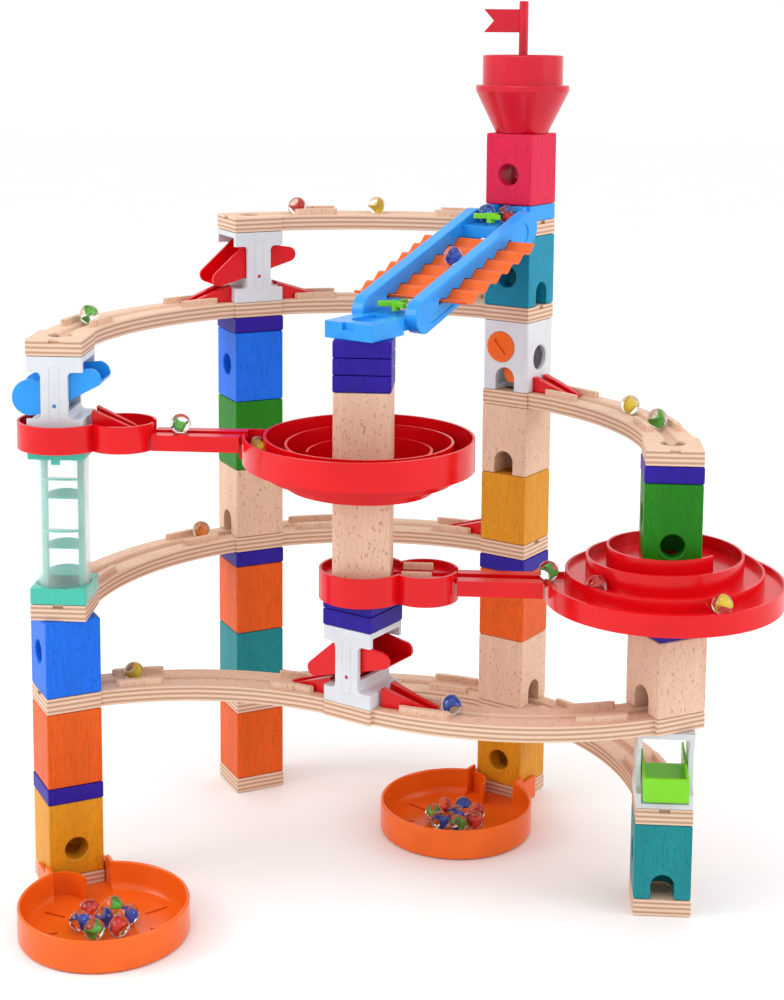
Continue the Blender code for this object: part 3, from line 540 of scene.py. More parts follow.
tube_material, tube_shader = new_finish("clear_plastic", 0.04, Specular_IOR_Level=0.6)
tube_haze = noise(tube_material, stretched_place(tube_material, (1.0, 1.0, 0.3)), 60.0, 2.0)
tube_tones = [(0.2, (0.80, 0.90, 0.90)), (0.8, (0.88, 0.96, 0.96))]
colour_from(tube_material, tube_shader, ramp(tube_material, tube_haze, tube_tones))
facing = add_node(tube_material, "ShaderNodeLayerWeight", {"Blend": 0.35}).outputs["Facing"]
cover = add_node(tube_material, "ShaderNodeMapRange", {"Value": facing, "To Min": 0.07, "To Max": 0.62})
tube_material.node_tree.links.new(cover.outputs["Result"], tube_shader.inputs["Alpha"])

VANES = {
    "red": (0.80, 0.03, 0.015), "yellow": (0.88, 0.60, 0.03), "green": (0.10, 0.46, 0.04),
    "blue": (0.015, 0.07, 0.50), "orange": (0.85, 0.22, 0.02),
}
for name, colour in VANES.items():
    plastic_finish(f"{name}_glass", colour, 0.3, 0.0, 0.0)
print("finishes:", len(FINISHES))


# %% [markdown]
# A finished piece is dressed the same way each time: its material, smooth shading that breaks at
# real edges, and weighted normals so that the flat faces stay flat beside their rounded edges.
# Then it rides on the body of the part that it stands for, and that plain part is hidden.


def dress(piece, finish, *nodes, body=None, slot=None, angle=30.0):
    piece.data.materials.clear()
    piece.data.materials.append(FINISHES[finish])
    take(piece)
    bpy.ops.object.shade_smooth_by_angle(angle=math.radians(angle))
    with_modifier(piece, "WEIGHTED_NORMAL", keep_sharp=True, weight=50)
    if nodes:
        body = frame["nodes"][nodes[0]]["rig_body"]
        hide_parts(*nodes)
    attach(piece, body or STATIC)
    return piece


# %% [markdown]
# ## Towers
#
# A block is a 45 mm square of beech, 62 mm tall, with its edges eased, and a vertical bore that
# marbles fall through. Some have a round exit or an arch at the foot. A drill leaves a slightly
# eased rim, so the drilling tool here flares where it leaves the face.

# %% Block tools
EASE = 0.0013


RIM = 0.0008            # depth of the eased rim of a hole


def flared(name, radius, start, face):
    """A drill along X from start out past a face, with an eased rim at the face."""
    tool = bar(name, radius, start, face - RIM, axis="X")
    for vertex in tool.data.vertices:
        vertex.select = False
    for edge in tool.data.edges:
        edge.select = False
    for polygon in tool.data.polygons:
        polygon.select = polygon.normal.x > 0.9
    take(tool)
    bpy.ops.object.mode_set(mode="EDIT")
    bpy.ops.mesh.select_mode(type="FACE")
    for step in (0.0010, 0.0040):
        growth = 1.0 + step / radius
        bpy.ops.mesh.extrude_region_move(TRANSFORM_OT_translate={"value": (step, 0.0, 0.0)})
        bpy.ops.transform.resize(value=(1.0, growth, growth))
    bpy.ops.object.mode_set(mode="OBJECT")
    return tool


def side_hole(direction, height, radius=EXIT, face=HALF):
    return moved(flared("hole", radius, 0.002, face), (0.0, 0.0, height), direction)


def foot_arch(direction, crown=0.0115, face=HALF):
    outline = [(EXIT, -0.002)] + arc(EXIT, 17, (0.0, crown), 0.0, 180.0) + [(-EXIT, -0.002)]
    return moved(sawn("arch", outline, 0.002, face + 0.004, "X"), turn=direction)


def upright_bore(low, high, radius=BORE):
    """The bore down a block, eased at its top."""
    tool = bar("bore", radius, low, high - RIM)
    rim = turned("rim", [(radius - 0.001, high - RIM - 0.0005), (radius, high - RIM),
                         (radius + RIM, high), (radius + RIM, high + 0.002),
                         (radius - 0.001, high + 0.002)], 48)
    core = bar("core", radius - 0.0005, high - 0.002, high + 0.002)
    return [tool, core, rim]


def spacer(name, tower, foot, turn, height=PLATE - GAP):
    """A thin indigo square with well rounded edges."""
    half = HALF + 0.0004
    piece = plank(name, (-half, half), (-half, half), (0.0, height), 0.0011)
    carve(piece, bar("bore", BORE, -0.001, height + 0.001))
    return dress(stood(piece, tower, foot, turn), "indigo_paint")


def block(node, finish, tower, turn, holes=(), arches=(), blind=0.0, spacer_above=False):
    """A drilled block; holes are (direction, height) and directions are degrees in plan."""
    foot = foot_of(node)
    height = BLOCK_HEIGHT - GAP
    if tower == "right_front" and "green" in node:
        height = top_of(node) - foot - PLATE
    piece = plank(f"{node}_turned", (-HALF, HALF), (-HALF, HALF), (0.0, height), EASE, 3)
    carve(piece, *upright_bore(blind or -0.001, height))
    for direction, up in holes:
        carve(piece, side_hole(direction - turn, up))
    for direction in arches:
        carve(piece, foot_arch(direction - turn))
    dress(stood(piece, tower, foot, turn), finish, node)
    if spacer_above:
        spacer(f"{node}_spacer", tower, foot + height + GAP, turn, top_of(node) - foot - height - GAP)
    return piece


# %% Left front tower
def base_plate(tower, turn):
    node = f"{tower}_base_plate"
    half = HALF + 0.00025
    piece = plank(f"{node}_sawn", (-half, half), (-half, half), (0.0, PLATE - GAP), 0.0007)
    carve(piece, bar("dish", BORE, PLATE - 0.003, PLATE + 0.002))
    mark_ply(piece, 0.0)
    return dress(stood(piece, tower, 0.0, turn), "ply", node)


def mark_ply(piece, foot):
    """Gives each point its height in the sheet, from 0 to 1, for the plywood's layers."""
    heights = piece.data.attributes.new("ply_height", "FLOAT", "POINT")
    for point, vertex in zip(heights.data, piece.data.vertices):
        point.value = (vertex.co.z - foot) / PLATE


base_plate("left_front", 30)
block("left_front_yellow_block", "yellow_paint", "left_front", 30, holes=[(300, 0.022)],
      blind=0.012, spacer_above=True)
block("left_front_orange_block", "orange_paint", "left_front", 30)
block("left_front_blue_block", "blue_paint", "left_front", 30, holes=[(210, 0.033)])
print("left front blocks up to", round(top_of("left_front_blue_block"), 4))

# %% Left rear tower
base_plate("left_rear", 30)
block("left_rear_lower_orange_block", "orange_paint", "left_rear", 30)
block("left_rear_teal_block", "teal_paint", "left_rear", 30, arches=[30])
block("left_rear_upper_orange_block", "orange_paint", "left_rear", 30, spacer_above=True)
block("left_rear_beech_block", "beech", "left_rear", 30, arches=[210])
block("left_rear_green_block", "green_paint", "left_rear", 30, holes=[(210, 0.022)])
block("left_rear_blue_block", "blue_paint", "left_rear", 30, holes=[(210, 0.031)], spacer_above=True)
print("left rear blocks up to", round(top_of("left_rear_blue_block"), 4))


# %% Centre tower
def spacers(node, count, turn):
    """Several spacers stood on each other; the first one stands for the joined part."""
    foot = foot_of(node)
    for i in range(count):
        piece = spacer(f"{node}_{i + 1}", "centre", foot + i * PLATE, turn)
        if i == 0:
            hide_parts(node)


spacers("centre_lower_spacers", 2, 60)
block("centre_lower_beech_block", "beech", "centre", 0)
block("centre_upper_beech_block", "beech", "centre", 0)
spacers("centre_upper_spacers", 3, 0)
print("centre spacers up to", round(top_of("centre_upper_spacers"), 4))

# %% Right rear tower
base_plate("right_rear", 60)
block("right_rear_lower_yellow_block", "yellow_paint", "right_rear", 60, holes=[(240, 0.022)], blind=0.012)
block("right_rear_lower_beech_block", "beech", "right_rear", 60, arches=[330])
block("right_rear_orange_block", "orange_paint", "right_rear", 60, spacer_above=True)
block("right_rear_upper_yellow_block", "yellow_paint", "right_rear", 60, arches=[150])
block("right_rear_upper_beech_block", "beech", "right_rear", 60, arches=[240])
block("right_rear_teal_block", "upper_teal_paint", "right_rear", 60, holes=[(240, 0.026)], arches=[330])
block("crimson_block", "crimson_paint", "right_rear", 60, holes=[(240, 0.026), (60, 0.026)])
print("right rear blocks up to", round(top_of("crimson_block"), 4))

# %% Right front tower
base_plate("right_front", 0)
block("right_front_teal_block", "teal_paint", "right_front", 0, holes=[(180, 0.031)], arches=[270])
block("right_front_beech_block", "beech", "right_front", 30, arches=[210], spacer_above=True)
block("right_front_green_block", "green_paint", "right_front", 0,
      holes=[(270, 0.0125), (180, 0.031)], spacer_above=True)
print("right front blocks up to", round(top_of("right_front_green_block"), 4))

# %% [markdown]
# ## Rails
#
# A rail is a strip of plywood cut along a sixth of a circle, or two, with a square at every tower.
# A router cuts the groove, and a cutter leaves a small notch where the groove meets the end, so
# that a marble can be picked out. The strip is a rounded profile swept round the arc, which gives
# clean curved edges, and the groove is a second swept profile carved out of it.

# %% Rail helpers
RAIL_HALF = 0.0195
RAIL_TOP = PLATE - GAP
GROOVE_HALF = 0.005
GROOVE_DEPTH = 0.003
EDGE = 0.0011
ARC_STEPS = 48


def strip_profile(half, low, high, edge):
    """A flat strip's end view with rounded edges."""
    reach = half - edge
    points = []
    for start, side, level in ((0, 1, high - edge), (90, -1, high - edge),
                               (180, -1, low + edge), (270, 1, low + edge)):
        points += arc(edge, 3, (side * reach, level), start, 90.0)
    return points


def groove_profile(foot):
    """A round-bottomed groove that opens out at the rail's top face."""
    top = foot + RAIL_TOP
    floor = arc(GROOVE_HALF, 9, (0.0, top - GROOVE_DEPTH + GROOVE_HALF - 0.0012), 205.0, 130.0)
    return floor + [(GROOVE_HALF, top - 0.0006), (GROOVE_HALF + 0.0005, top + 0.002),
                    (-GROOVE_HALF - 0.0005, top + 0.002), (-GROOVE_HALF, top - 0.0006)]


def rail(node, arcs, ends):
    """arcs are (centre, start, end); ends are (place, turn, open), open where the end is notched."""
    foot = foot_of(node)
    parts = []
    for place, turn, notched in ends:
        end = plank("end", (-HALF, HALF), (-HALF, HALF), (foot, foot + RAIL_TOP), EDGE)
        parts.append(moved(end, place, turn))
    piece = parts[0]
    piece.name = f"{node}_strip"
    sweeps = [(centre, SPACING, start, end, round(ARC_STEPS * abs(end - start) / 60.0))
              for centre, start, end in arcs]
    profile = strip_profile(RAIL_HALF, foot, foot + RAIL_TOP, EDGE)
    parts += [swept("strip", profile, *sweep) for sweep in sweeps]
    weld(piece, *parts[1:])
    carve(piece, *[swept("groove", groove_profile(foot), *sweep) for sweep in sweeps])
    for place, turn, notched in ends:
        hole = bar("hole", BORE, foot - 0.001, foot + RAIL_TOP + 0.001)
        carve(piece, moved(hole, (place.x, place.y, 0.0)))
        if notched:
            top = foot + RAIL_TOP
            notch = plank("notch", (HALF - 0.0028, HALF + 0.002), (-0.0042, 0.0042),
                          (top - 0.0035, top + 0.002), 0.0008)
            carve(piece, moved(notch, place, turn))
    mark_ply(piece, foot)
    return dress(piece, "ply", node, angle=35.0)


# %% [markdown]
# Two beech strips beside each tower keep a marble in the groove as it lands. They are glued on,
# follow the rail's curve, and stand 5 mm above it. One swept strip is made for each, and the
# strips of a rail are joined as one object.

# %% Guide strips
GUIDE_OFFSET = 0.0125
GUIDE_HALF = 0.00225
GUIDE_START = 9.4
GUIDE_SPAN = 9.5
GUIDE_HEIGHT = 0.0050
GUIDE_POINT = 0.0022    # how far a strip's pointed end runs


def guides(node, marks):
    """marks are (centre, tower angle, side): a pair of strips on that side of the tower."""
    top = foot_of(node) + RAIL_TOP
    strips = []
    for centre, angle, side in marks:
        start = angle + side * GUIDE_START
        low, high = sorted((start, start + side * GUIDE_SPAN))
        for offset in (-GUIDE_OFFSET, GUIDE_OFFSET):
            reach = SPACING + offset
            hub = (centre.x, centre.y)
            tip = math.degrees(GUIDE_POINT / reach)
            plan = arc(reach + GUIDE_HALF, 9, hub, low + tip, high - low - 2 * tip)
            plan += arc(reach, 2, hub, high, 0.05)
            plan += arc(reach - GUIDE_HALF, 9, hub, high - tip, low - high + 2 * tip)
            plan += arc(reach, 2, hub, low, -0.05)
            strip = sawn("guide", plan, top - 0.0003, top + GUIDE_HEIGHT)
            strips.append(round_edges(strip, 0.0006))
    take(strips[0])
    for strip in strips[1:]:
        strip.select_set(True)
    bpy.ops.object.join()
    piece = bpy.context.object
    piece.name = f"{node}_guides"
    return dress(piece, "beech")


LEFT_FRONT, LEFT_REAR = TOWERS["left_front"], TOWERS["left_rear"]
RIGHT_REAR, RIGHT_FRONT = TOWERS["right_rear"], TOWERS["right_front"]
FRONT_CORNER = on_circle(CENTRE, SPACING, 240)
LONG_RAIL = ([(CENTRE, 60, 180)],
             [(LEFT_FRONT, 270, True), (LEFT_REAR, 30, False), (RIGHT_REAR, -30, True)])
RAILS = {
    "middle_rail": LONG_RAIL,
    "upper_rail": LONG_RAIL,
    "lower_back_rail": ([(CENTRE, 0, 120)],
                        [(LEFT_REAR, 210, True), (RIGHT_REAR, 60, False), (RIGHT_FRONT, 270, True)]),
    "top_rail": ([(CENTRE, 60, 120)], [(LEFT_REAR, 210, True), (RIGHT_REAR, -30, True)]),
    "right_rail": ([(CENTRE, 0, 60)], [(RIGHT_REAR, 150, True), (RIGHT_FRONT, 270, True)]),
    "s_rail": ([(FRONT_CORNER, 60, 120), (RIGHT_REAR, 240, 300)],
               [(LEFT_FRONT, 210, True), (CENTRE, 60, False), (RIGHT_FRONT, 30, True)]),
}
for node, (arcs, ends) in RAILS.items():
    rail(node, arcs, ends)
    marks = []
    for centre, low, high in arcs:
        stops = range(low, high + 1, 60)
        marks += [(centre, angle, 1) for angle in stops if angle < high]
        marks += [(centre, angle, -1) for angle in stops if angle > low]
    guides(node, marks)
    print(node, "lies at", round(foot_of(node), 4), "with", 2 * len(marks), "strips")

# %% Plug under the S-shaped rail
plug = turned("rail_plug_turned", [(0.0, 0.0), (0.006, 0.0), (0.0088, 0.0009), (0.0104, 0.0024),
                                   (0.0111, 0.0037), (0.0096, 0.0040), (0.0094, 0.0125),
                                   (0.0, 0.0125)], 48, from_axis=True)
dress(stood(plug, "centre", foot_of("rail_plug")), "beech", "rail_plug")
print("plug hangs at", round(foot_of("rail_plug"), 4))

# %% [markdown]
# ## Seesaws
#
# Each seesaw is a white moulded frame with a coloured trough that rocks on two stub pins. The
# frame is one block of plastic: its side view is a tunnel, open at both ends, and each wall is
# cut in at both sides to an I. The trough's outline is sawn across, its two rooms are carved out,
# and every edge is eased, as a mould would leave it.

# %% White frame
PIVOT = 0.0226          # height of the pins above a frame's foot
WALL_INSIDE = 0.0185
PIN = 0.0013


def mirrored_x(points):
    return [(-x, z) for x, z in points]


def long_round(radius):
    """An upright slot's outline on a frame's wall."""
    return arc(radius, 13, (0.0, 0.0500), 0.0, 180.0) + arc(radius, 13, (0.0, 0.0130), 180.0, 180.0)


def seesaw_frame(node, tower, turn, floor_line):
    height = BLOCK_HEIGHT - GAP
    piece = sawn(f"{node}_moulded", square(BLOCK, MOULD_CORNER), 0.0, height)
    tunnel = floor_line + [(0.030, 0.057), (-0.030, 0.057)]
    carve(piece, sawn("tunnel", tunnel, -WALL_INSIDE, WALL_INSIDE, "Y"))
    low_corner = arc(0.0040, 6, (0.01475, 0.0160), 270.0, -90.0)
    high_corner = arc(0.0040, 6, (0.01475, 0.0455), 180.0, -90.0)
    notch = [(0.030, 0.012)] + low_corner + high_corner + [(0.030, 0.0495)]
    for points in (notch, mirrored_x(notch)):
        carve(piece, sawn("notch", points, -BLOCK, BLOCK, "Y"))
    carve(piece, bar("hole", BORE, 0.050, 0.070))
    carve(piece, bar("pin_hole", PIN + GAP, -BLOCK, BLOCK, (0.0, PIVOT), "Y", 20))
    for side in (-1, 1):
        near, far = between(side, HALF - 0.0003, HALF + 0.001)
        line = sawn("line", long_round(0.0042), near, far, "Y")
        carve(line, sawn("island", long_round(0.0038), near - 0.001, far + 0.001, "Y"))
        carve(piece, line)
    round_edges(piece, 0.0005)
    return dress(stood(piece, tower, foot_of(node), turn), "white_plastic", node)


HUMP = [(-0.030, 0.0156), (-0.008, 0.0216), (-0.007, 0.0165), (0.007, 0.0165), (0.008, 0.0216),
        (0.030, 0.0156)]
LOW_HUMP = [(-0.030, 0.0070), (-0.008, 0.0130), (-0.007, 0.0130), (0.007, 0.0150),
            (0.008, 0.0180), (0.030, 0.0150)]
FLAT = [(-0.030, 0.0040), (0.030, 0.0040)]
seesaw_frame("left_rear_seesaw_frame", "left_rear", 30, HUMP)
seesaw_frame("centre_seesaw_frame", "centre", -30, HUMP)
seesaw_frame("left_front_seesaw_frame", "left_front", 0, LOW_HUMP)
seesaw_frame("tray_frame", "right_front", -90, FLAT)
print("frames stand at", [round(foot_of(n), 4) for n in ("left_rear_seesaw_frame", "centre_seesaw_frame")])

# %% [markdown]
# A red trough rests with one end down. A wall over its pivot splits it into two rooms, and its
# ends are rounded paddles. Its outline is drawn level and then turned about the pivot by the
# angle that it rests at.

# %% Rocking troughs
REST_TILT = 16.2
TROUGH_OUTSIDE = WALL_INSIDE - 0.001
TROUGH_INSIDE = TROUGH_OUTSIDE - 0.0025


def about_pivot(points, degrees):
    c, s = math.cos(math.radians(degrees)), math.sin(math.radians(degrees))
    return [(x * c - z * s, x * s + z * c) for x, z in points]


def trough(node, tower, turn, finish, outline, rooms):
    piece = sawn(f"{node}_moulded", outline, -TROUGH_OUTSIDE, TROUGH_OUTSIDE, "Y")
    for room in rooms:
        carve(piece, sawn("room", room, -TROUGH_INSIDE, TROUGH_INSIDE, "Y"))
    reach = HALF - GAP
    weld(piece, bar("hub", 0.0042, -TROUGH_INSIDE - 0.001, TROUGH_INSIDE + 0.001, axis="Y", sides=28))
    weld(piece, bar("pins", PIN, -reach, reach, axis="Y", sides=20))
    round_edges(piece, 0.0004)
    pivot = foot_of(f"{tower}_seesaw_frame") + PIVOT
    return dress(stood(piece, tower, pivot, turn), finish, node)


left_end = arc(0.0065, 14, (-0.034, 0.0086), 115.0, 155.0)
right_end = arc(0.0065, 14, (0.034, 0.0086), 270.0, 155.0)
red_outline = about_pivot(left_end + right_end + [(0.0022, 0.0310), (-0.0022, 0.0310)], REST_TILT)
room = [(0.0013, 0.0042), (0.050, 0.0042), (0.050, 0.040), (0.0013, 0.040)]
red_rooms = [about_pivot(room, REST_TILT), about_pivot(mirrored_x(room), REST_TILT)]
trough("left_rear_red_rocker", "left_rear", 30, "red_plastic", red_outline, red_rooms)
trough("centre_red_rocker", "centre", -30, "red_plastic", red_outline, red_rooms)

paddle = arc(0.0143, 30, (-0.0206, 0.0056), 62.0, 226.0)
blue_outline = paddle + [(0.0, -0.0050), (0.004, -0.0030), (0.0129, 0.0050), (0.0350, 0.0165),
                         (0.0360, 0.0188), (0.0360, 0.0215), (0.0345, 0.0255), (0.0315, 0.0282),
                         (0.0285, 0.0295), (0.0, 0.0270)]
right_room = [(0.0013, 0.0048), (0.0115, 0.0066), (0.050, 0.0272), (0.050, 0.050), (0.0013, 0.050)]
back_room = [(-0.0013, 0.0042), (-0.0013, 0.050), (-0.050, 0.050), (-0.050, -0.0040), (-0.010, 0.0010)]
trough("blue_rocker", "left_front", 0, "sky_plastic", blue_outline, [right_room, back_room])
print("troughs rest at", REST_TILT, "degrees")

# %% Tipping tray
tray_outside = WALL_INSIDE - 0.0008
tray_line = [(-0.018, -0.0036), (0.0305, -0.0136), (0.0320, -0.0130), (0.0325, -0.0115),
             (0.0305, 0.0054), (-0.020, 0.0160)]
tray_room = [(-0.030, 0.0010), (-0.018, -0.0016), (0.0290, -0.0112), (0.0283, 0.0300), (-0.030, 0.0300)]
tray = sawn("tipping_tray_moulded", tray_line, -tray_outside, tray_outside, "Y")
carve(tray, sawn("room", tray_room, -tray_outside + 0.002, tray_outside - 0.002, "Y"))
for side in (-1, 1):
    near, far = between(side, tray_outside - 0.001, HALF - GAP)
    weld(tray, bar("pin", PIN, near, far, axis="Y", sides=20))
round_edges(tray, 0.0004)
dress(stood(tray, "right_front", foot_of("tray_frame") + PIVOT, -90), "lime_plastic", "tipping_tray")
print("tray pivots at", round(foot_of("tray_frame") + PIVOT, 4))

# %% [markdown]
# ## Spiral tracks
#
# One red track sinks like a bowl as it winds in, the other climbs like a mound. Each is one
# moulding: an open ring round a tower, a second ring beside it, a grooved bar, and a channel
# wound three times whose neighbouring turns share a wall. No lathe or sweep gives a channel that
# narrows as it winds, so its rings of points are written out turn by turn and joined in strips.

# %% Wound channel
PER_TURN = 96
HUB_HALF = HALF - 0.001


def wound_channel(name, pitch, rise, start, outer, turns, wall_at):
    """wall_at(turn) gives the foot and top of the wall above its own floor."""
    last = round(turns * PER_TURN)
    climbs = rise > 0
    rings = []
    points, faces = [], []
    for i in range(last + 1):
        turn = i / PER_TURN
        angle = math.pi + 2 * math.pi * turn
        radius = outer - pitch * turn
        floor = start + rise * turn
        inner = radius - pitch if i + PER_TURN <= last else HUB_HALF
        inside = radius - SKIN
        foot, top = wall_at(turn)
        if climbs:
            shape = [(radius, foot), (radius, foot + SKIN), (radius, top), (inside, top),
                     (inside, SKIN), (inner, SKIN), (inner, 0.0), (inside, 0.0), (inside, foot)]
        else:
            shape = [(radius, 0.0), (radius, -rise), (radius, SKIN - rise), (radius, top),
                     (inside, top), (inside, SKIN), (inner, SKIN), (inner, 0.0)]
        rings.append(len(points))
        for r, z in shape:
            points.append((r * math.cos(angle), r * math.sin(angle), floor + z))
    count = len(shape)
    outer_band, inner_edge = (0, 5) if climbs else (1, 6)
    for i in range(last):
        for j in range(count):
            shared = j == outer_band and i >= PER_TURN or j == inner_edge and i + PER_TURN < last
            if shared:
                continue
            k = (j + 1) % count
            low, high = rings[i], rings[i + 1]
            faces.append((low + j, low + k, high + k, high + j))
    faces.append(tuple(range(count)))
    faces.append(tuple(rings[last] + j for j in range(count)))
    mesh = bpy.data.meshes.new(name)
    mesh.from_pydata(points, [], faces)
    piece = bpy.data.objects.new(name, mesh)
    bpy.context.scene.collection.objects.link(piece)
    return edit_all(piece, close_seam, face_out, bpy.ops.mesh.quads_convert_to_tris)


# %% Ring, bar and pocket round the channel
RING = 0.035
BULGE = 0.027
BULGE_OFFSET = 0.0485
BAR_HALF = 0.015
BAR_HEIGHT = 0.0125
RING_FLOOR = 0.005


def ring_pair(name, foot, top, shrink=0.0):
    piece = bar(name, RING - shrink, foot, top, sides=96)
    return weld(piece, bar("bulge", BULGE - shrink, foot, top, (BULGE_OFFSET, 0.0), sides=84))


def grooved_bar(start, end, top):
    half = [(GROOVE_HALF, top - GROOVE_DEPTH), (GROOVE_HALF, top), (BAR_HALF, top),
            (BAR_HALF, top - BAR_HEIGHT), (BAR_HALF - SKIN, top - BAR_HEIGHT),
            (BAR_HALF - SKIN, top - SKIN), (GROOVE_HALF + SKIN, top - SKIN),
            (GROOVE_HALF + SKIN, top - SKIN - GROOVE_DEPTH)]
    return sawn("bar", half + [(-y, z) for y, z in half[::-1]], start, end, "X")


def spiral_track(node, tower, ring_levels, radii, underside, rim, channel, hub):
    foot, top, plate_foot, floor = ring_levels
    outer, next_in = radii
    inner = BAR_HALF - SKIN
    bar_start = BULGE_OFFSET + BULGE - SKIN / 2
    bar_end = SPACING - outer - SKIN / 2
    piece = ring_pair(f"{node}_moulded", foot, top)
    carve(piece, ring_pair("inside", floor, top + 0.001, SKIN))
    carve(piece, ring_pair("inside", foot - 0.001, floor - RING_FLOOR, SKIN))
    weld(piece, sawn("plate", square(), plate_foot, floor))
    weld(piece, grooved_bar(bar_start, bar_end, floor))
    weld(piece, moved(channel, (SPACING, 0.0, 0.0)))
    weld(piece, plank("pocket", (bar_end - SKIN, SPACING - next_in + 0.0012), (-SKIN, BAR_HALF),
                      (underside, rim)))
    weld(piece, moved(sawn("hub", square(), *hub), (SPACING, 0.0, 0.0)))
    pocket = (bar_end + 2 * SKIN, SPACING - next_in - 0.0002)
    carve(piece, plank("pocket", pocket, (-SKIN - 0.001, inner), (underside + SKIN + 0.0002, top + 0.02)))
    groove = (HALF + 0.001, pocket[0] + 0.0005)
    carve(piece, plank("groove", groove, (-GROOVE_HALF, GROOVE_HALF), (floor - GROOVE_DEPTH, top + 0.001)))
    carve(piece, bar("bore", BORE, plate_foot - 0.001, floor + 0.001))
    carve(piece, bar("bore", BORE, hub[0] - 0.001, hub[1] + 0.001, (SPACING, 0.0)))
    return piece


# %% Bowl-shaped track
def level(blocks, plates):
    return blocks * BLOCK_HEIGHT + plates * PLATE


BOWL_HUB = 0.025
bowl_pitch, bowl_fall, bowl_start, bowl_rim, bowl_outer = 0.0165, 0.0090, 0.3570, 0.3775, 0.0955
bowl_drop = 0.007        # how much lower the inner walls' tops are, each turn
bowl_channel = wound_channel(
    "channel", bowl_pitch, -bowl_fall, bowl_start, bowl_outer, 3.0,
    lambda turn: (0.0, bowl_rim - bowl_start + bowl_fall * turn - bowl_drop * max(0.0, turn - 1.0)))
bowl_foot = level(4, 6)
bowl_ring = (level(5, 4), 0.3855, level(5, 4), level(5, 5) - GAP)
bowl_track = spiral_track("bowl_spiral_track", "left_front", bowl_ring,
                          (bowl_outer, bowl_outer - bowl_pitch), bowl_start, bowl_rim, bowl_channel,
                          (bowl_foot, bowl_foot + BOWL_HUB - GAP))
carve(bowl_track, moved(foot_arch(180.0), (SPACING, 0.0, bowl_foot + 0.0035)))
round_edges(bowl_track, 0.0003, 1, 50.0)
dress(stood(bowl_track, "left_front", 0.0), "red_plastic", "bowl_spiral_track")

# %% Mound-shaped track
MOUND_HUB = BLOCK_HEIGHT - PLATE
mound_pitch, mound_rise, mound_start, mound_outer = 0.016, 0.0069, 0.2622, 0.097
mound_lip, tall_lip, skirt = 0.0054, 0.0118, 0.0115


def mound_wall(turn):
    growth = min(1.0, max(0.0, turn - 1.25))
    foot = -mound_rise if turn >= 1.0 else -skirt
    return foot, mound_lip + growth * (tall_lip - mound_lip)


mound_turns = 81 / 24
mound_channel = wound_channel("channel", mound_pitch, mound_rise, mound_start, mound_outer, mound_turns,
                              mound_wall)
mound_foot = level(3, 4)
mound_ring = (0.2480, 0.2715, level(3, 5), level(3, 6) - GAP)
mound_track = spiral_track("mound_spiral_track", "centre", mound_ring,
                           (mound_outer, mound_outer - mound_pitch), mound_start,
                           mound_start + mound_lip, mound_channel,
                           (mound_foot, mound_foot + MOUND_HUB - GAP))
round_edges(mound_track, 0.0003, 1, 50.0)
dress(stood(mound_track, "centre", 0.0), "red_plastic", "mound_spiral_track")
print("mound track up to", round(top_of("mound_spiral_track"), 4))

# %% [markdown]
# ## Catch bowls
#
# The two orange bowls lie on the floor and clasp the foot of a tower. The dish is turned on the
# lathe in one go, outside, rounded rim and inside, then a neck is welded on, and slots are cut
# through the floor.

# %% Catch bowl
def catch_bowl(node, tower, direction):
    reach, rim, wall, height, floor = 0.095, 0.066, 0.003, 0.026, 0.003
    neck = HALF + 0.004
    inside = rim - wall
    profile = [(0.0, 0.0), (rim - 0.0025, 0.0), (rim - 0.0007, 0.0008), (rim, 0.0025),
               (rim, height - 0.0015)]
    profile += arc(0.0015, 7, (rim - 0.0015, height - 0.0015), 0.0, 180.0)[1:]
    profile += [(inside, floor + 0.008), (inside - 0.0008, floor + 0.004), (inside - 0.003, floor + 0.0012),
                (inside - 0.007, floor), (0.0, floor)]
    piece = turned(f"{node}_moulded", profile, 96, from_axis=True)
    front = reach - HALF - GAP
    weld(piece, plank("neck", (0.045, front), (-neck, neck), (0.0, height), 0.0008))
    room = plank("room", (0.036, front + 0.002), (-neck + wall, neck - wall), (floor, height + 0.002))
    hollow = turned("hollow", [(0.0, floor), (inside - 0.007, floor), (inside - 0.003, floor + 0.0012),
                               (inside - 0.0008, floor + 0.004), (inside, floor + 0.008),
                               (inside, height + 0.002), (0.0, height + 0.002)], 96, from_axis=True)
    carve(piece, hollow, room)
    for side in (-1, 1):
        near, far = between(side, HALF + 0.0008, neck)
        weld(piece, plank("arm", (front - 0.002, reach), (near, far), (0.0, 0.020), 0.0006))
    for i in range(7):
        slot = plank("slot", (0.036, 0.055), (-0.0014, 0.0014), (-0.001, floor + 0.001))
        carve(piece, moved(slot, turn=40.0 + 40.0 * i))
    fin = arc(0.022, 20, (0.046, 0.022), -90.0, 90.0)
    fin_back = arc(0.0198, 20, (0.046, 0.022), -90.0, 90.0)
    weld(piece, sawn("fin", fin + fin_back[::-1], floor - 0.001, height - 0.004))
    place = on_circle(TOWERS[tower], reach, direction)
    return dress(moved(piece, place, direction + 180), "orange_plastic", node)


catch_bowl("left_catch_bowl", "left_front", 300)
catch_bowl("right_catch_bowl", "right_rear", 240)
print("bowl height:", round(top_of("left_catch_bowl"), 4))

# %% [markdown]
# ## Clear tube
#
# A ladder of half-round shelves stands in a clear tube, so a marble zigzags down it. The tube is a
# turned sleeve, and the ladder is two flat posts with tilted shelves between them.

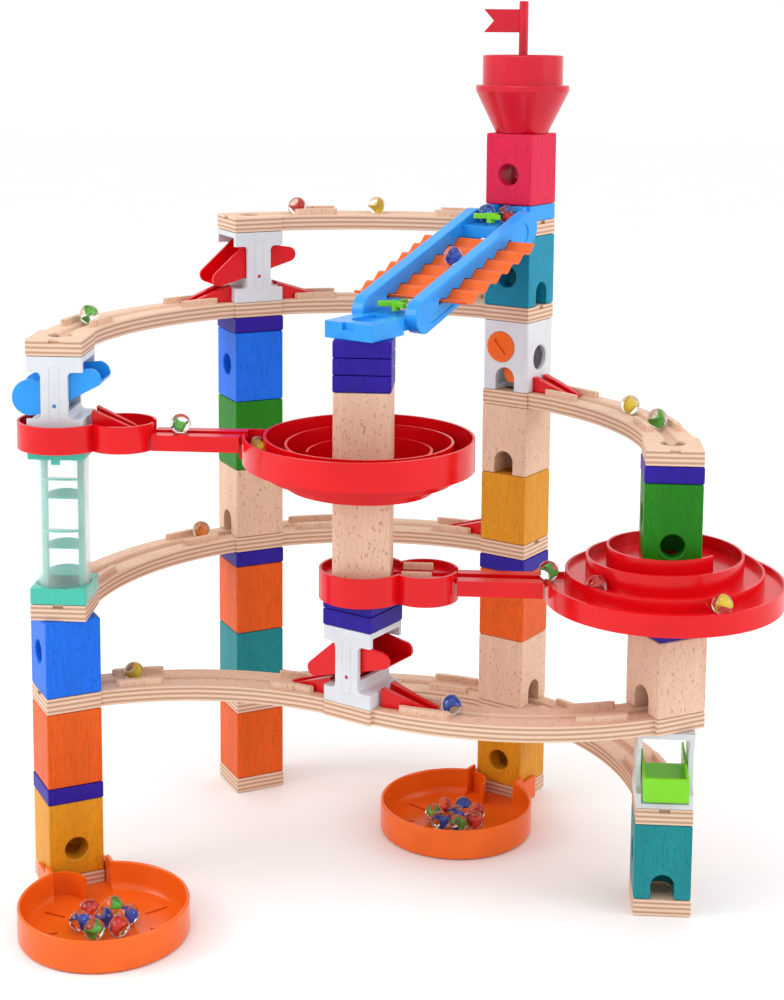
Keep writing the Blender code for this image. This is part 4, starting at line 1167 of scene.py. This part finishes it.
# %% Ladder, tube and cap
tube_foot, tube_top = foot_of("ladder_base"), top_of("tube_cap")
CAP = 0.0067
TUBE_OUTER, TUBE_INNER = 0.021, 0.01925
ladder = sawn("ladder_moulded", square(BLOCK, MOULD_CORNER), 0.0, 0.013)
carve(ladder, bar("socket", TUBE_OUTER + GAP, 0.004, 0.014, sides=72))
carve(ladder, bar("bore", BORE, -0.001, 0.005))
round_edges(ladder, 0.0006)
post_top = tube_top - tube_foot - CAP - 0.0003
for side in (-1, 1):
    near, far = between(side, 0.0125, 0.0170)
    weld(ladder, plank("post", (near, far), (-0.003, 0.003), (0.003, post_top), 0.0006))
for height, side in ((0.018, 1), (0.040, 1), (0.055, -1), (0.081, 1), (0.097, -1)):
    shelf = sawn("shelf", arc(0.0172, 25, (0.0, 0.0), 0.0, 180.0), -0.0008, 0.0008)
    weld(ladder, moved(shelf, (0.0, 0.0, height), 0.0 if side == 1 else 180.0, tilt_about(11.0, "X")))
dress(stood(ladder, "left_front", tube_foot), "mint_plastic", "ladder_base")

low, high = 0.0043, tube_top - tube_foot - CAP - GAP
sleeve = turned("clear_tube_turned", [(TUBE_OUTER, low + 0.0004), (TUBE_OUTER, high - 0.0004),
                                      (TUBE_OUTER - 0.0004, high), (TUBE_INNER + 0.0004, high),
                                      (TUBE_INNER, high - 0.0004), (TUBE_INNER, low + 0.0004),
                                      (TUBE_INNER + 0.0004, low), (TUBE_OUTER - 0.0004, low)], 72)
dress(stood(sleeve, "left_front", tube_foot), "clear_plastic", "clear_tube")

cap = sawn("tube_cap_moulded", square(BLOCK, MOULD_CORNER), 0.0, CAP - GAP)
weld(cap, plank("tab", (-0.0035, 0.0035), (-HALF + 0.0005, -HALF + 0.0012), (-0.004, 0.001)))
carve(cap, bar("hole", BORE, -0.005, CAP + 0.001))
round_edges(cap, 0.0004)
dress(stood(cap, "left_front", tube_top - CAP + GAP), "mint_plastic", "tube_cap")
print("tube from", round(tube_foot, 4), "to", round(tube_top, 4))

# %% [markdown]
# ## Ramp
#
# The blue ramp joins the centre tower to the right rear one. Its two long side walls are rounded
# bars, each with a slot, and a wavy orange plate is pushed through both slots for the marbles to
# rattle over. All of it is drawn in the ramp's side view, where u runs level along the ramp, and
# a slope turns "along and up" into that view.

# %% Slope helpers
RAMP_TURN = 60.0
SLOPE = math.radians(18.9)
RAMP_FOOT = (0.040, 0.4695)
WALL_NEAR, WALL_FAR, WALL_ROUND = 0.0195, 0.031, 0.014
WAVE_LENGTH, WAVE_START, WAVE_HEIGHT, WAVES = 0.1130, 0.0247, 0.0018, 6


def on_slope(along, up):
    c, s = math.cos(SLOPE), math.sin(SLOPE)
    return RAMP_FOOT[0] + along * c - up * s, RAMP_FOOT[1] + along * s + up * c


def rounded_bar(start, end, radius, sides=24):
    tilt = math.degrees(SLOPE)
    return (arc(radius, sides, on_slope(start, 0.0), 90.0 + tilt, 180.0)
            + arc(radius, sides, on_slope(end, 0.0), 270.0 + tilt, 180.0))


def wave(along):
    """A rounded ripple, steeper on its downhill side."""
    phase = 2 * math.pi * WAVES * (along - WAVE_START) / WAVE_LENGTH
    return WAVE_HEIGHT * (0.97 * math.cos(phase) + 0.08 * math.sin(2 * phase))


def wavy_band(start, end, half_thickness, steps=96):
    line = [start + (end - start) * i / steps for i in range(steps + 1)]
    top = [on_slope(a, wave(a) + half_thickness) for a in line]
    bottom = [on_slope(a, wave(a) - half_thickness) for a in line]
    return top + bottom[::-1]


# %% Ramp body
head_low, head_top = level(7, 7), level(7, 8) - GAP
low_floor, high_floor = 0.4690, 0.5270
far_end = SPACING - HALF - GAP
inner, overlap = WALL_NEAR, 0.001


def across(half):
    return -half, half


ramp_body = plank("ramp_body_moulded", (HALF - overlap, 0.060), across(inner + overlap), (0.4590, low_floor))
weld(ramp_body, plank("high_floor", (0.175, far_end), across(inner + overlap), (0.5170, high_floor)))
for side in (-1, 1):
    near, far = between(side, inner, WALL_FAR)
    wall = sawn("side_wall", rounded_bar(0.0, 0.1715, WALL_ROUND), near, far, "Y")
    weld(ramp_body, round_edges(wall, 0.0012, 3))
weld(ramp_body, sawn("foot_plate", square(BLOCK, MOULD_CORNER), 0.4565, low_floor + 0.0007))
weld(ramp_body, plank("back_wall", (0.2100, far_end), across(inner + 0.0005), (0.5200, head_top)))
weld(ramp_body, plank("bridge", (0.2120, far_end + GAP + 0.001), across(inner),
                      (head_low + 0.0005, head_top)))
head = sawn("head_plate", square(BLOCK, MOULD_CORNER), head_low, head_top)
weld(ramp_body, moved(head, (SPACING, 0.0, 0.0)))
gutter = 0.009
carve(ramp_body, plank("head_gutter", (0.2000, SPACING), across(gutter), (0.5310, head_top + 0.001)),
      bar("head_well", BORE, 0.5310, head_top + 0.001, (SPACING, 0.0)),
      plank("foot_gutter", (0.0, 0.026), across(gutter), (0.4670, 0.4720)),
      bar("foot_hole", BORE, 0.4555, 0.4720),
      plank("notch", (-HALF - 0.001, -HALF + 0.003), across(0.0055), (0.4640, 0.4720)))
for side in (-1, 1):
    near, far = between(side, WALL_FAR - 0.0008, WALL_FAR + 0.001)
    carve(ramp_body, sawn("panel", rounded_bar(0.008, 0.1600, 0.0092), near, far, "Y"))
    near, far = between(side, inner - 0.001, WALL_FAR + 0.001)
    carve(ramp_body, sawn("slot", wavy_band(0.0215, 0.1410, 0.0019), near, far, "Y"))
LOWER_SPINNER, UPPER_SPINNER = 0.044, 0.189     # how far along the ramp the spinners stand
for along, floor in ((LOWER_SPINNER, low_floor), (UPPER_SPINNER, high_floor)):
    weld(ramp_body, bar("pin", 0.0015, floor - 0.001, floor + 0.0115, (along, 0.0), sides=20))
round_edges(ramp_body, 0.0004, 1, 50.0)
dress(stood(ramp_body, "centre", 0.0, RAMP_TURN), "sky_plastic", "ramp_body")

wave_half, wave_line = 0.054, wavy_band(WAVE_START, WAVE_START + WAVE_LENGTH, 0.001)
wave_plate = sawn("wave_plate_moulded", wave_line, -wave_half, wave_half, "Y")
dress(stood(wave_plate, "centre", 0.0, RAMP_TURN), "orange_plastic", "wave_plate", angle=60.0)
print("ramp from", round(foot_of("ramp_body"), 4), "to", round(top_of("ramp_body"), 4))

# %% Spinners
def on_ramp(along, across, height):
    angle = math.radians(RAMP_TURN)
    return (CENTRE.x + along * math.cos(angle) - across * math.sin(angle),
            CENTRE.y + along * math.sin(angle) + across * math.cos(angle), height)


def spinner(node, along):
    piece = bar(f"{node}_moulded", 0.0036, 0.0, 0.0085, sides=32)
    for i in range(3):
        blade = plank("blade", (0.002, 0.0148), (-0.0016, 0.0016), (0.0034, 0.0079), 0.0006)
        weld(piece, moved(blade, turn=120.0 * i))
    carve(piece, bar("bore", 0.0019, -0.001, 0.010, sides=24))
    return dress(moved(piece, on_ramp(along, 0.0, foot_of(node)), RAMP_TURN), "lime_plastic", node)


spinner("lower_spinner", LOWER_SPINNER)
spinner("upper_spinner", UPPER_SPINNER)
print("spinners at", round(foot_of("lower_spinner"), 4), round(foot_of("upper_spinner"), 4))

# %% [markdown]
# ## Switch block
#
# A hollow white block holds a round orange knob. Its axle carries a lever inside that sends the
# marbles to one side or the other, and a coin slot across its face shows which way.

# %% Switch block and knob
KNOB_SIDE, KNOB_HEIGHT = 0.0045, 0.0389
switch = sawn("switch_block_moulded", square(BLOCK, 0.003, 6), 0.0, BLOCK_HEIGHT - GAP)
round_edges(switch, 0.0008, 3)
carve(switch, plank("room", (-0.0185, 0.0185), (-0.0185, 0.0185), (0.004, 0.0575)),
      bar("hole", BORE, 0.050, 0.070), foot_arch(180.0), side_hole(-90.0, 0.029, 0.011),
      bar("seat", 0.0138, -0.030, -0.010, (KNOB_SIDE, KNOB_HEIGHT), "X", 64))
switch_foot = foot_of("switch_block")
dress(stood(switch, "right_rear", switch_foot, 60), "white_plastic", "switch_block")

knob = bar("switch_knob_moulded", 0.0135, -0.0232, -0.0188, axis="X", sides=64)
slot_tilt = tilt_about(48.0, "X")
carve(knob, moved(plank("slot", (-0.025, -0.0218), (-0.0085, 0.0085), (-0.0014, 0.0014)), tilt=slot_tilt))
weld(knob, bar("axle", 0.004, -0.0190, -0.0120, axis="X", sides=32))
lever = [(-0.0045, 0.0)] + arc(0.006, 16, (0.0, -0.0270), 180.0, 180.0) + [(0.0045, 0.0)]
weld(knob, moved(sawn("lever", lever, -0.0165, -0.0125, "X"), tilt=tilt_about(-15.0, "X")))
round_edges(knob, 0.0004)
moved(knob, on_circle(TOWERS["right_rear"], KNOB_SIDE, 60 + 90, switch_foot + KNOB_HEIGHT), 60)
dress(knob, "orange_plastic", "switch_knob")
print("knob axle at", round(switch_foot + KNOB_HEIGHT, 4))

# %% [markdown]
# ## Funnel and flag
#
# The funnel is turned from one profile: a neck, a flared cone, a collar and a straight cup. The
# flag stands in it on three legs, and its banner is a plain swallowtail.

# %% Funnel and flag
funnel_foot = foot_of("funnel")
funnel = turned("funnel_turned", [
    (0.0100, 0.0004), (0.0104, 0.0), (0.0224, 0.0), (0.0232, 0.0006), (0.0402, 0.0352), (0.0408, 0.0362),
    (0.0408, 0.0404), (0.0402, 0.0412), (0.0354, 0.0412), (0.0350, 0.0416), (0.0350, 0.0662),
    (0.0344, 0.0670), (0.0326, 0.0670), (0.0320, 0.0664), (0.0320, 0.0390), (0.0300, 0.0375),
    (0.0104, 0.0066), (0.0100, 0.0060)], 96)
dress(stood(funnel, "right_rear", funnel_foot), "crimson_plastic", "funnel")

leg_foot, pole_top = 0.0383, 0.1135
flag = turned("flag_turned", [(0.0, leg_foot), (0.0036, leg_foot), (0.0040, leg_foot + 0.0004),
                              (0.0040, pole_top - 0.0006), (0.0034, pole_top), (0.0, pole_top)],
              40, from_axis=True)
for i in range(3):
    leg = plank("leg", (0.002, 0.0316), (-0.00125, 0.00125), (leg_foot, leg_foot + 0.008), 0.0003)
    weld(flag, moved(leg, turn=30.0 + 120.0 * i))
low, high, far = 0.0865, 0.1065, 0.0345
banner = [(-0.002, low), (-0.002, high), (-far, high), (-far + 0.0085, (low + high) / 2), (-far, low)]
weld(flag, round_edges(sawn("banner", banner, -0.0010, 0.0010, "Y"), 0.0003))
dress(stood(flag, "right_rear", funnel_foot), "crimson_plastic", "flag")
print("flag up to", round(top_of("flag"), 4))

# %% [markdown]
# ## Guide wedges
#
# Where a marble leaves a seesaw it could roll off the rail. A pair of red wedges stands there and
# leads it into the groove: high at the frame, low at the far end, and closing in as they go. They
# follow the rail's curve, so their plan is drawn round the rail's own centre.

# %% Wedges
WEDGE_START, WEDGE_END = 0.0235, 0.066


def wedge_pair(name, base, place_at, tall=0.0150, start=WEDGE_START, end=WEDGE_END):
    """place_at(u, v) gives the plan point u along the rail from the tower and v across it."""
    steps = 8
    for side, word in ((1, "outer"), (-1, "inner")):
        run = [start + (end - start) * i / steps for i in range(steps + 1)]
        far_line = [(u, side * (0.0116 - 0.0048 * (u - start) / (end - start))) for u in run]
        near_line = [(u, side * (0.0046 - 0.0012 * (u - start) / (end - start))) for u in run]
        plan = far_line + near_line[::-1]
        piece = sawn(f"{name}_{word}_wedge", [place_at(u, v) for u, v in plan], base, base + 0.001)
        tops = [v for v in piece.data.vertices if v.co.z > base + 0.0005]
        for vertex in tops:
            nearest = min(plan, key=lambda p: (place_at(*p) - vertex.co.xy).length)
            fall = (nearest[0] - start) / (end - start)
            vertex.co.z = base + 0.0012 + (tall - 0.0012) * (1.0 - fall)
        round_edges(piece, 0.0005)
        dress(piece, "red_plastic")


def on_rail(centre, tower_angle, side):
    """Plan points on a rail that runs round a centre."""
    def place_at(u, v):
        return on_circle(centre, SPACING + v, tower_angle + side * math.degrees(u / SPACING)).xy
    return place_at


def straight_out(tower, direction):
    spot, angle = TOWERS[tower], math.radians(direction)
    along, across = Vector((math.cos(angle), math.sin(angle))), Vector((-math.sin(angle), math.cos(angle)))

    def place_at(u, v):
        return spot.xy + along * u + across * v
    return place_at


upper_top, middle_top, lower_top, right_top, s_top, highest_top = [
    foot_of(node) + RAIL_TOP
    for node in ("upper_rail", "middle_rail", "lower_back_rail", "right_rail", "s_rail", "top_rail")]
wedge_pair("left_rear_frame_right", upper_top, on_rail(CENTRE, 120, -1))
wedge_pair("left_rear_frame_left", upper_top, on_rail(CENTRE, 120, 1))
wedge_pair("centre_frame_right", s_top, on_rail(RIGHT_REAR, 240, 1))
wedge_pair("centre_frame_left", s_top, on_rail(FRONT_CORNER, 60, 1))
wedge_pair("switch_right", right_top, on_rail(CENTRE, 60, -1), 0.0135)
wedge_pair("yellow_left", middle_top, on_rail(CENTRE, 60, 1), 0.0135)
wedge_pair("teal_right", lower_top, on_rail(CENTRE, 120, -1), 0.0135)
wedge_pair("left_front_frame", bowl_ring[3], straight_out("left_front", 0), 0.0180, 0.027, 0.064)
print("wedge pairs: 8")

# %% Two small beech bars in the second ring of the mound track
for side, word in ((1, "rear"), (-1, "front")):
    middle = side * GUIDE_OFFSET
    piece = plank(f"small_beech_bar_{word}", (0.031, 0.055), (middle - 0.0024, middle + 0.0024),
                  (0.0, 0.0055), 0.0008)
    dress(stood(piece, "centre", mound_ring[3]), "beech")
print("small bars lie at", round(mound_ring[3], 4))

# %% [markdown]
# ## Marbles
#
# A marble is clear glass with a twisted vane of coloured glass inside. The ball is a half circle
# turned on the lathe; the vane is a thin leaf, cut into steps along its length and twisted by a
# deform modifier. Both are made once, and every marble gets its own copies.

# %% One marble
half_circle = arc(MARBLE, 21, start=-90.0, sweep=180.0)
half_circle[0], half_circle[-1] = (0.0, -MARBLE), (0.0, MARBLE)
ball_pattern = turned("ball_pattern", half_circle, 32, from_axis=True)
vane_pattern = plank("vane_pattern", (-0.0046, 0.0046), (-0.0007, 0.0007), (-0.0050, 0.0050))
with_modifier(vane_pattern, "BEVEL", width=0.0018, segments=2, affect="EDGES", limit_method="ANGLE",
              angle_limit=math.radians(80))
edit_all(vane_pattern, lambda: bpy.ops.mesh.subdivide(number_cuts=5))
with_modifier(vane_pattern, "SIMPLE_DEFORM", deform_method="TWIST", deform_axis="Z", angle=math.radians(150))
luck = random.Random(7)


def marble(name, place, colour, node=None):
    tilt = Matrix.Rotation(luck.uniform(0, 6.28), 4, "Z") @ Matrix.Rotation(luck.uniform(0.3, 1.3), 4, "X")
    parts = ((ball_pattern, "glass", "glass"), (vane_pattern, "vane", f"{colour}_glass"))
    for pattern, word, finish in parts:
        piece = bpy.data.objects.new(f"{name}_{word}", pattern.data.copy())
        bpy.context.scene.collection.objects.link(piece)
        moved(piece, place, 0.0, tilt)
        if node and word == "glass":
            dress(piece, finish, node)
        else:
            body = frame["nodes"][node]["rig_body"] if node else STATIC
            dress(piece, finish, body=body, slot="glass", angle=60.0)


# %% All the marbles
def box_middle(node):
    low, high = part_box(node)
    return (low + high) / 2


SINK = MARBLE - 0.0015      # a marble's middle above a grooved rail
top_height = highest_top + SINK
marble("upper_marble", box_middle("upper_rail_marble"), "green", "upper_rail_marble")
marble("middle_marble", box_middle("middle_rail_marble"), "orange", "middle_rail_marble")
marble("right_marble", box_middle("right_rail_marble"), "yellow", "right_rail_marble")
marble("top_red", on_circle(CENTRE, SPACING, 109.4, top_height), "red")
marble("top_yellow", on_circle(CENTRE, SPACING, 92.2, top_height), "yellow")
marble("s_left", on_circle(FRONT_CORNER, SPACING, 106.8, s_top + SINK), "yellow")
marble("s_right", on_circle(RIGHT_REAR, SPACING, 258.5, s_top + SINK), "blue")
marble("right_green", on_circle(CENTRE, SPACING, 14.4, right_top + SINK), "green")
marble("feed_green", (CENTRE.x - 0.145, CENTRE.y, bowl_ring[3] + SINK), "green")
marble("bowl_yellow", (CENTRE.x - 0.084, CENTRE.y, 0.367), "yellow")
marble("bowl_red", on_circle(CENTRE, 0.0762, 38.0, 0.362), "red")
marble("mound_green", (CENTRE.x + 0.146, CENTRE.y, 0.2725), "green")
marble("mound_red", on_circle(RIGHT_FRONT, 0.071, 215.0, 0.2745), "red")
marble("mound_yellow", on_circle(RIGHT_FRONT, 0.0834, 293.0, 0.2740), "yellow")

marble("ramp_blue", on_ramp(0.2020, 0.0120, 0.5351), "blue")
marble("ramp_red", on_ramp(0.2060, -0.0060, 0.5351), "red")
marble("ramp_middle", on_ramp(0.1195, -0.0058, 0.5075), "blue")

catch_height = 0.003 + MARBLE


def cluster(name, middle, colours):
    """A ring of marbles round one in the middle, in a catch bowl."""
    marble(f"{name}_0", (middle.x, middle.y, catch_height), colours[0])
    for i, colour in enumerate(colours[1:]):
        spot = on_circle(middle, 0.0190, 360.0 * i / (len(colours) - 1) + 20.0, catch_height)
        marble(f"{name}_{i + 1}", spot, colour)


cluster("left_bowl", CENTRE + Vector((-0.1925, -0.0823, 0.0)),
        ["blue", "blue", "green", "red", "blue", "green", "red"])
cluster("right_bowl", CENTRE + Vector((0.0725, 0.1255, 0.0)),
        ["blue", "red", "blue", "red", "green", "blue", "green", "red"])
for pattern in (ball_pattern, vane_pattern):
    bpy.data.objects.remove(pattern, do_unlink=True)

# %% [markdown]
# ## Floor, light and camera
#
# A pale floor and broad soft lights, as in a small studio: one large light from the upper left and
# the front, a weaker one from the right, and an even pale surround that fills the shadows.

# %% Floor
deselect()
bpy.ops.mesh.primitive_plane_add(size=14.0, location=(0.0, 3.0, -0.0004))
floor = bpy.context.object
floor.name = "pale_floor"
floor_material, floor_shader = new_finish("floor_paint", 0.6, Specular_IOR_Level=0.25)
mottle = noise(floor_material, stretched_place(floor_material), 3.0, 2.0)
colour_from(floor_material, floor_shader, ramp(floor_material, mottle, [(0.2, 0.90), (0.8, 0.92)]))
floor.data.materials.append(floor_material)
print("floor side:", floor.dimensions.x)

# %% Light
world = bpy.context.scene.world or bpy.data.worlds.new("surround")
bpy.context.scene.world = world
world.use_nodes = True
world.node_tree.nodes["Background"].inputs["Color"].default_value = (1.0, 1.0, 1.0, 1.0)
world.node_tree.nodes["Background"].inputs["Strength"].default_value = 1.08


def soft_light(name, place, aim, size, power):
    data = bpy.data.lights.new(name, "AREA")
    data.shape = "SQUARE"
    data.size = size
    data.energy = power
    lamp = bpy.data.objects.new(name, data)
    lamp.location = place
    lamp.rotation_euler = (Vector(aim) - Vector(place)).to_track_quat("-Z", "Y").to_euler()
    bpy.context.scene.collection.objects.link(lamp)
    return lamp


soft_light("left_light", (-2.2, -0.7, 1.5), (0.0, 0.0, 0.35), 1.3, 21.0)
soft_light("right_light", (2.2, -0.5, 1.3), (0.0, 0.0, 0.4), 1.3, 14.0)
soft_light("top_light", (-0.3, -0.6, 2.6), (0.0, 0.0, 0.3), 1.2, 8.0)
bpy.context.scene.view_settings.view_transform = "Standard"

# %% Camera
camera_data = bpy.data.cameras.new("camera")
camera_data.lens = 64.844
camera_data.sensor_width = 36.0
camera_data.shift_x = 0.005
camera_data.shift_y = -0.22
camera = bpy.data.objects.new("camera", camera_data)
tilt_down, turn_left, roll = -0.1393, 0.0692, 0.0076
camera.matrix_world = (Matrix.Translation((0.0855, -1.4304, 0.694))
                       @ Matrix.Rotation(turn_left, 4, "Z")
                       @ Matrix.Rotation(math.pi / 2 + tilt_down, 4, "X")
                       @ Matrix.Rotation(roll, 4, "Z"))
bpy.context.scene.collection.objects.link(camera)
bpy.context.scene.camera = camera
print("camera stands", round(camera.location.length, 3), "m from the middle of the floor")
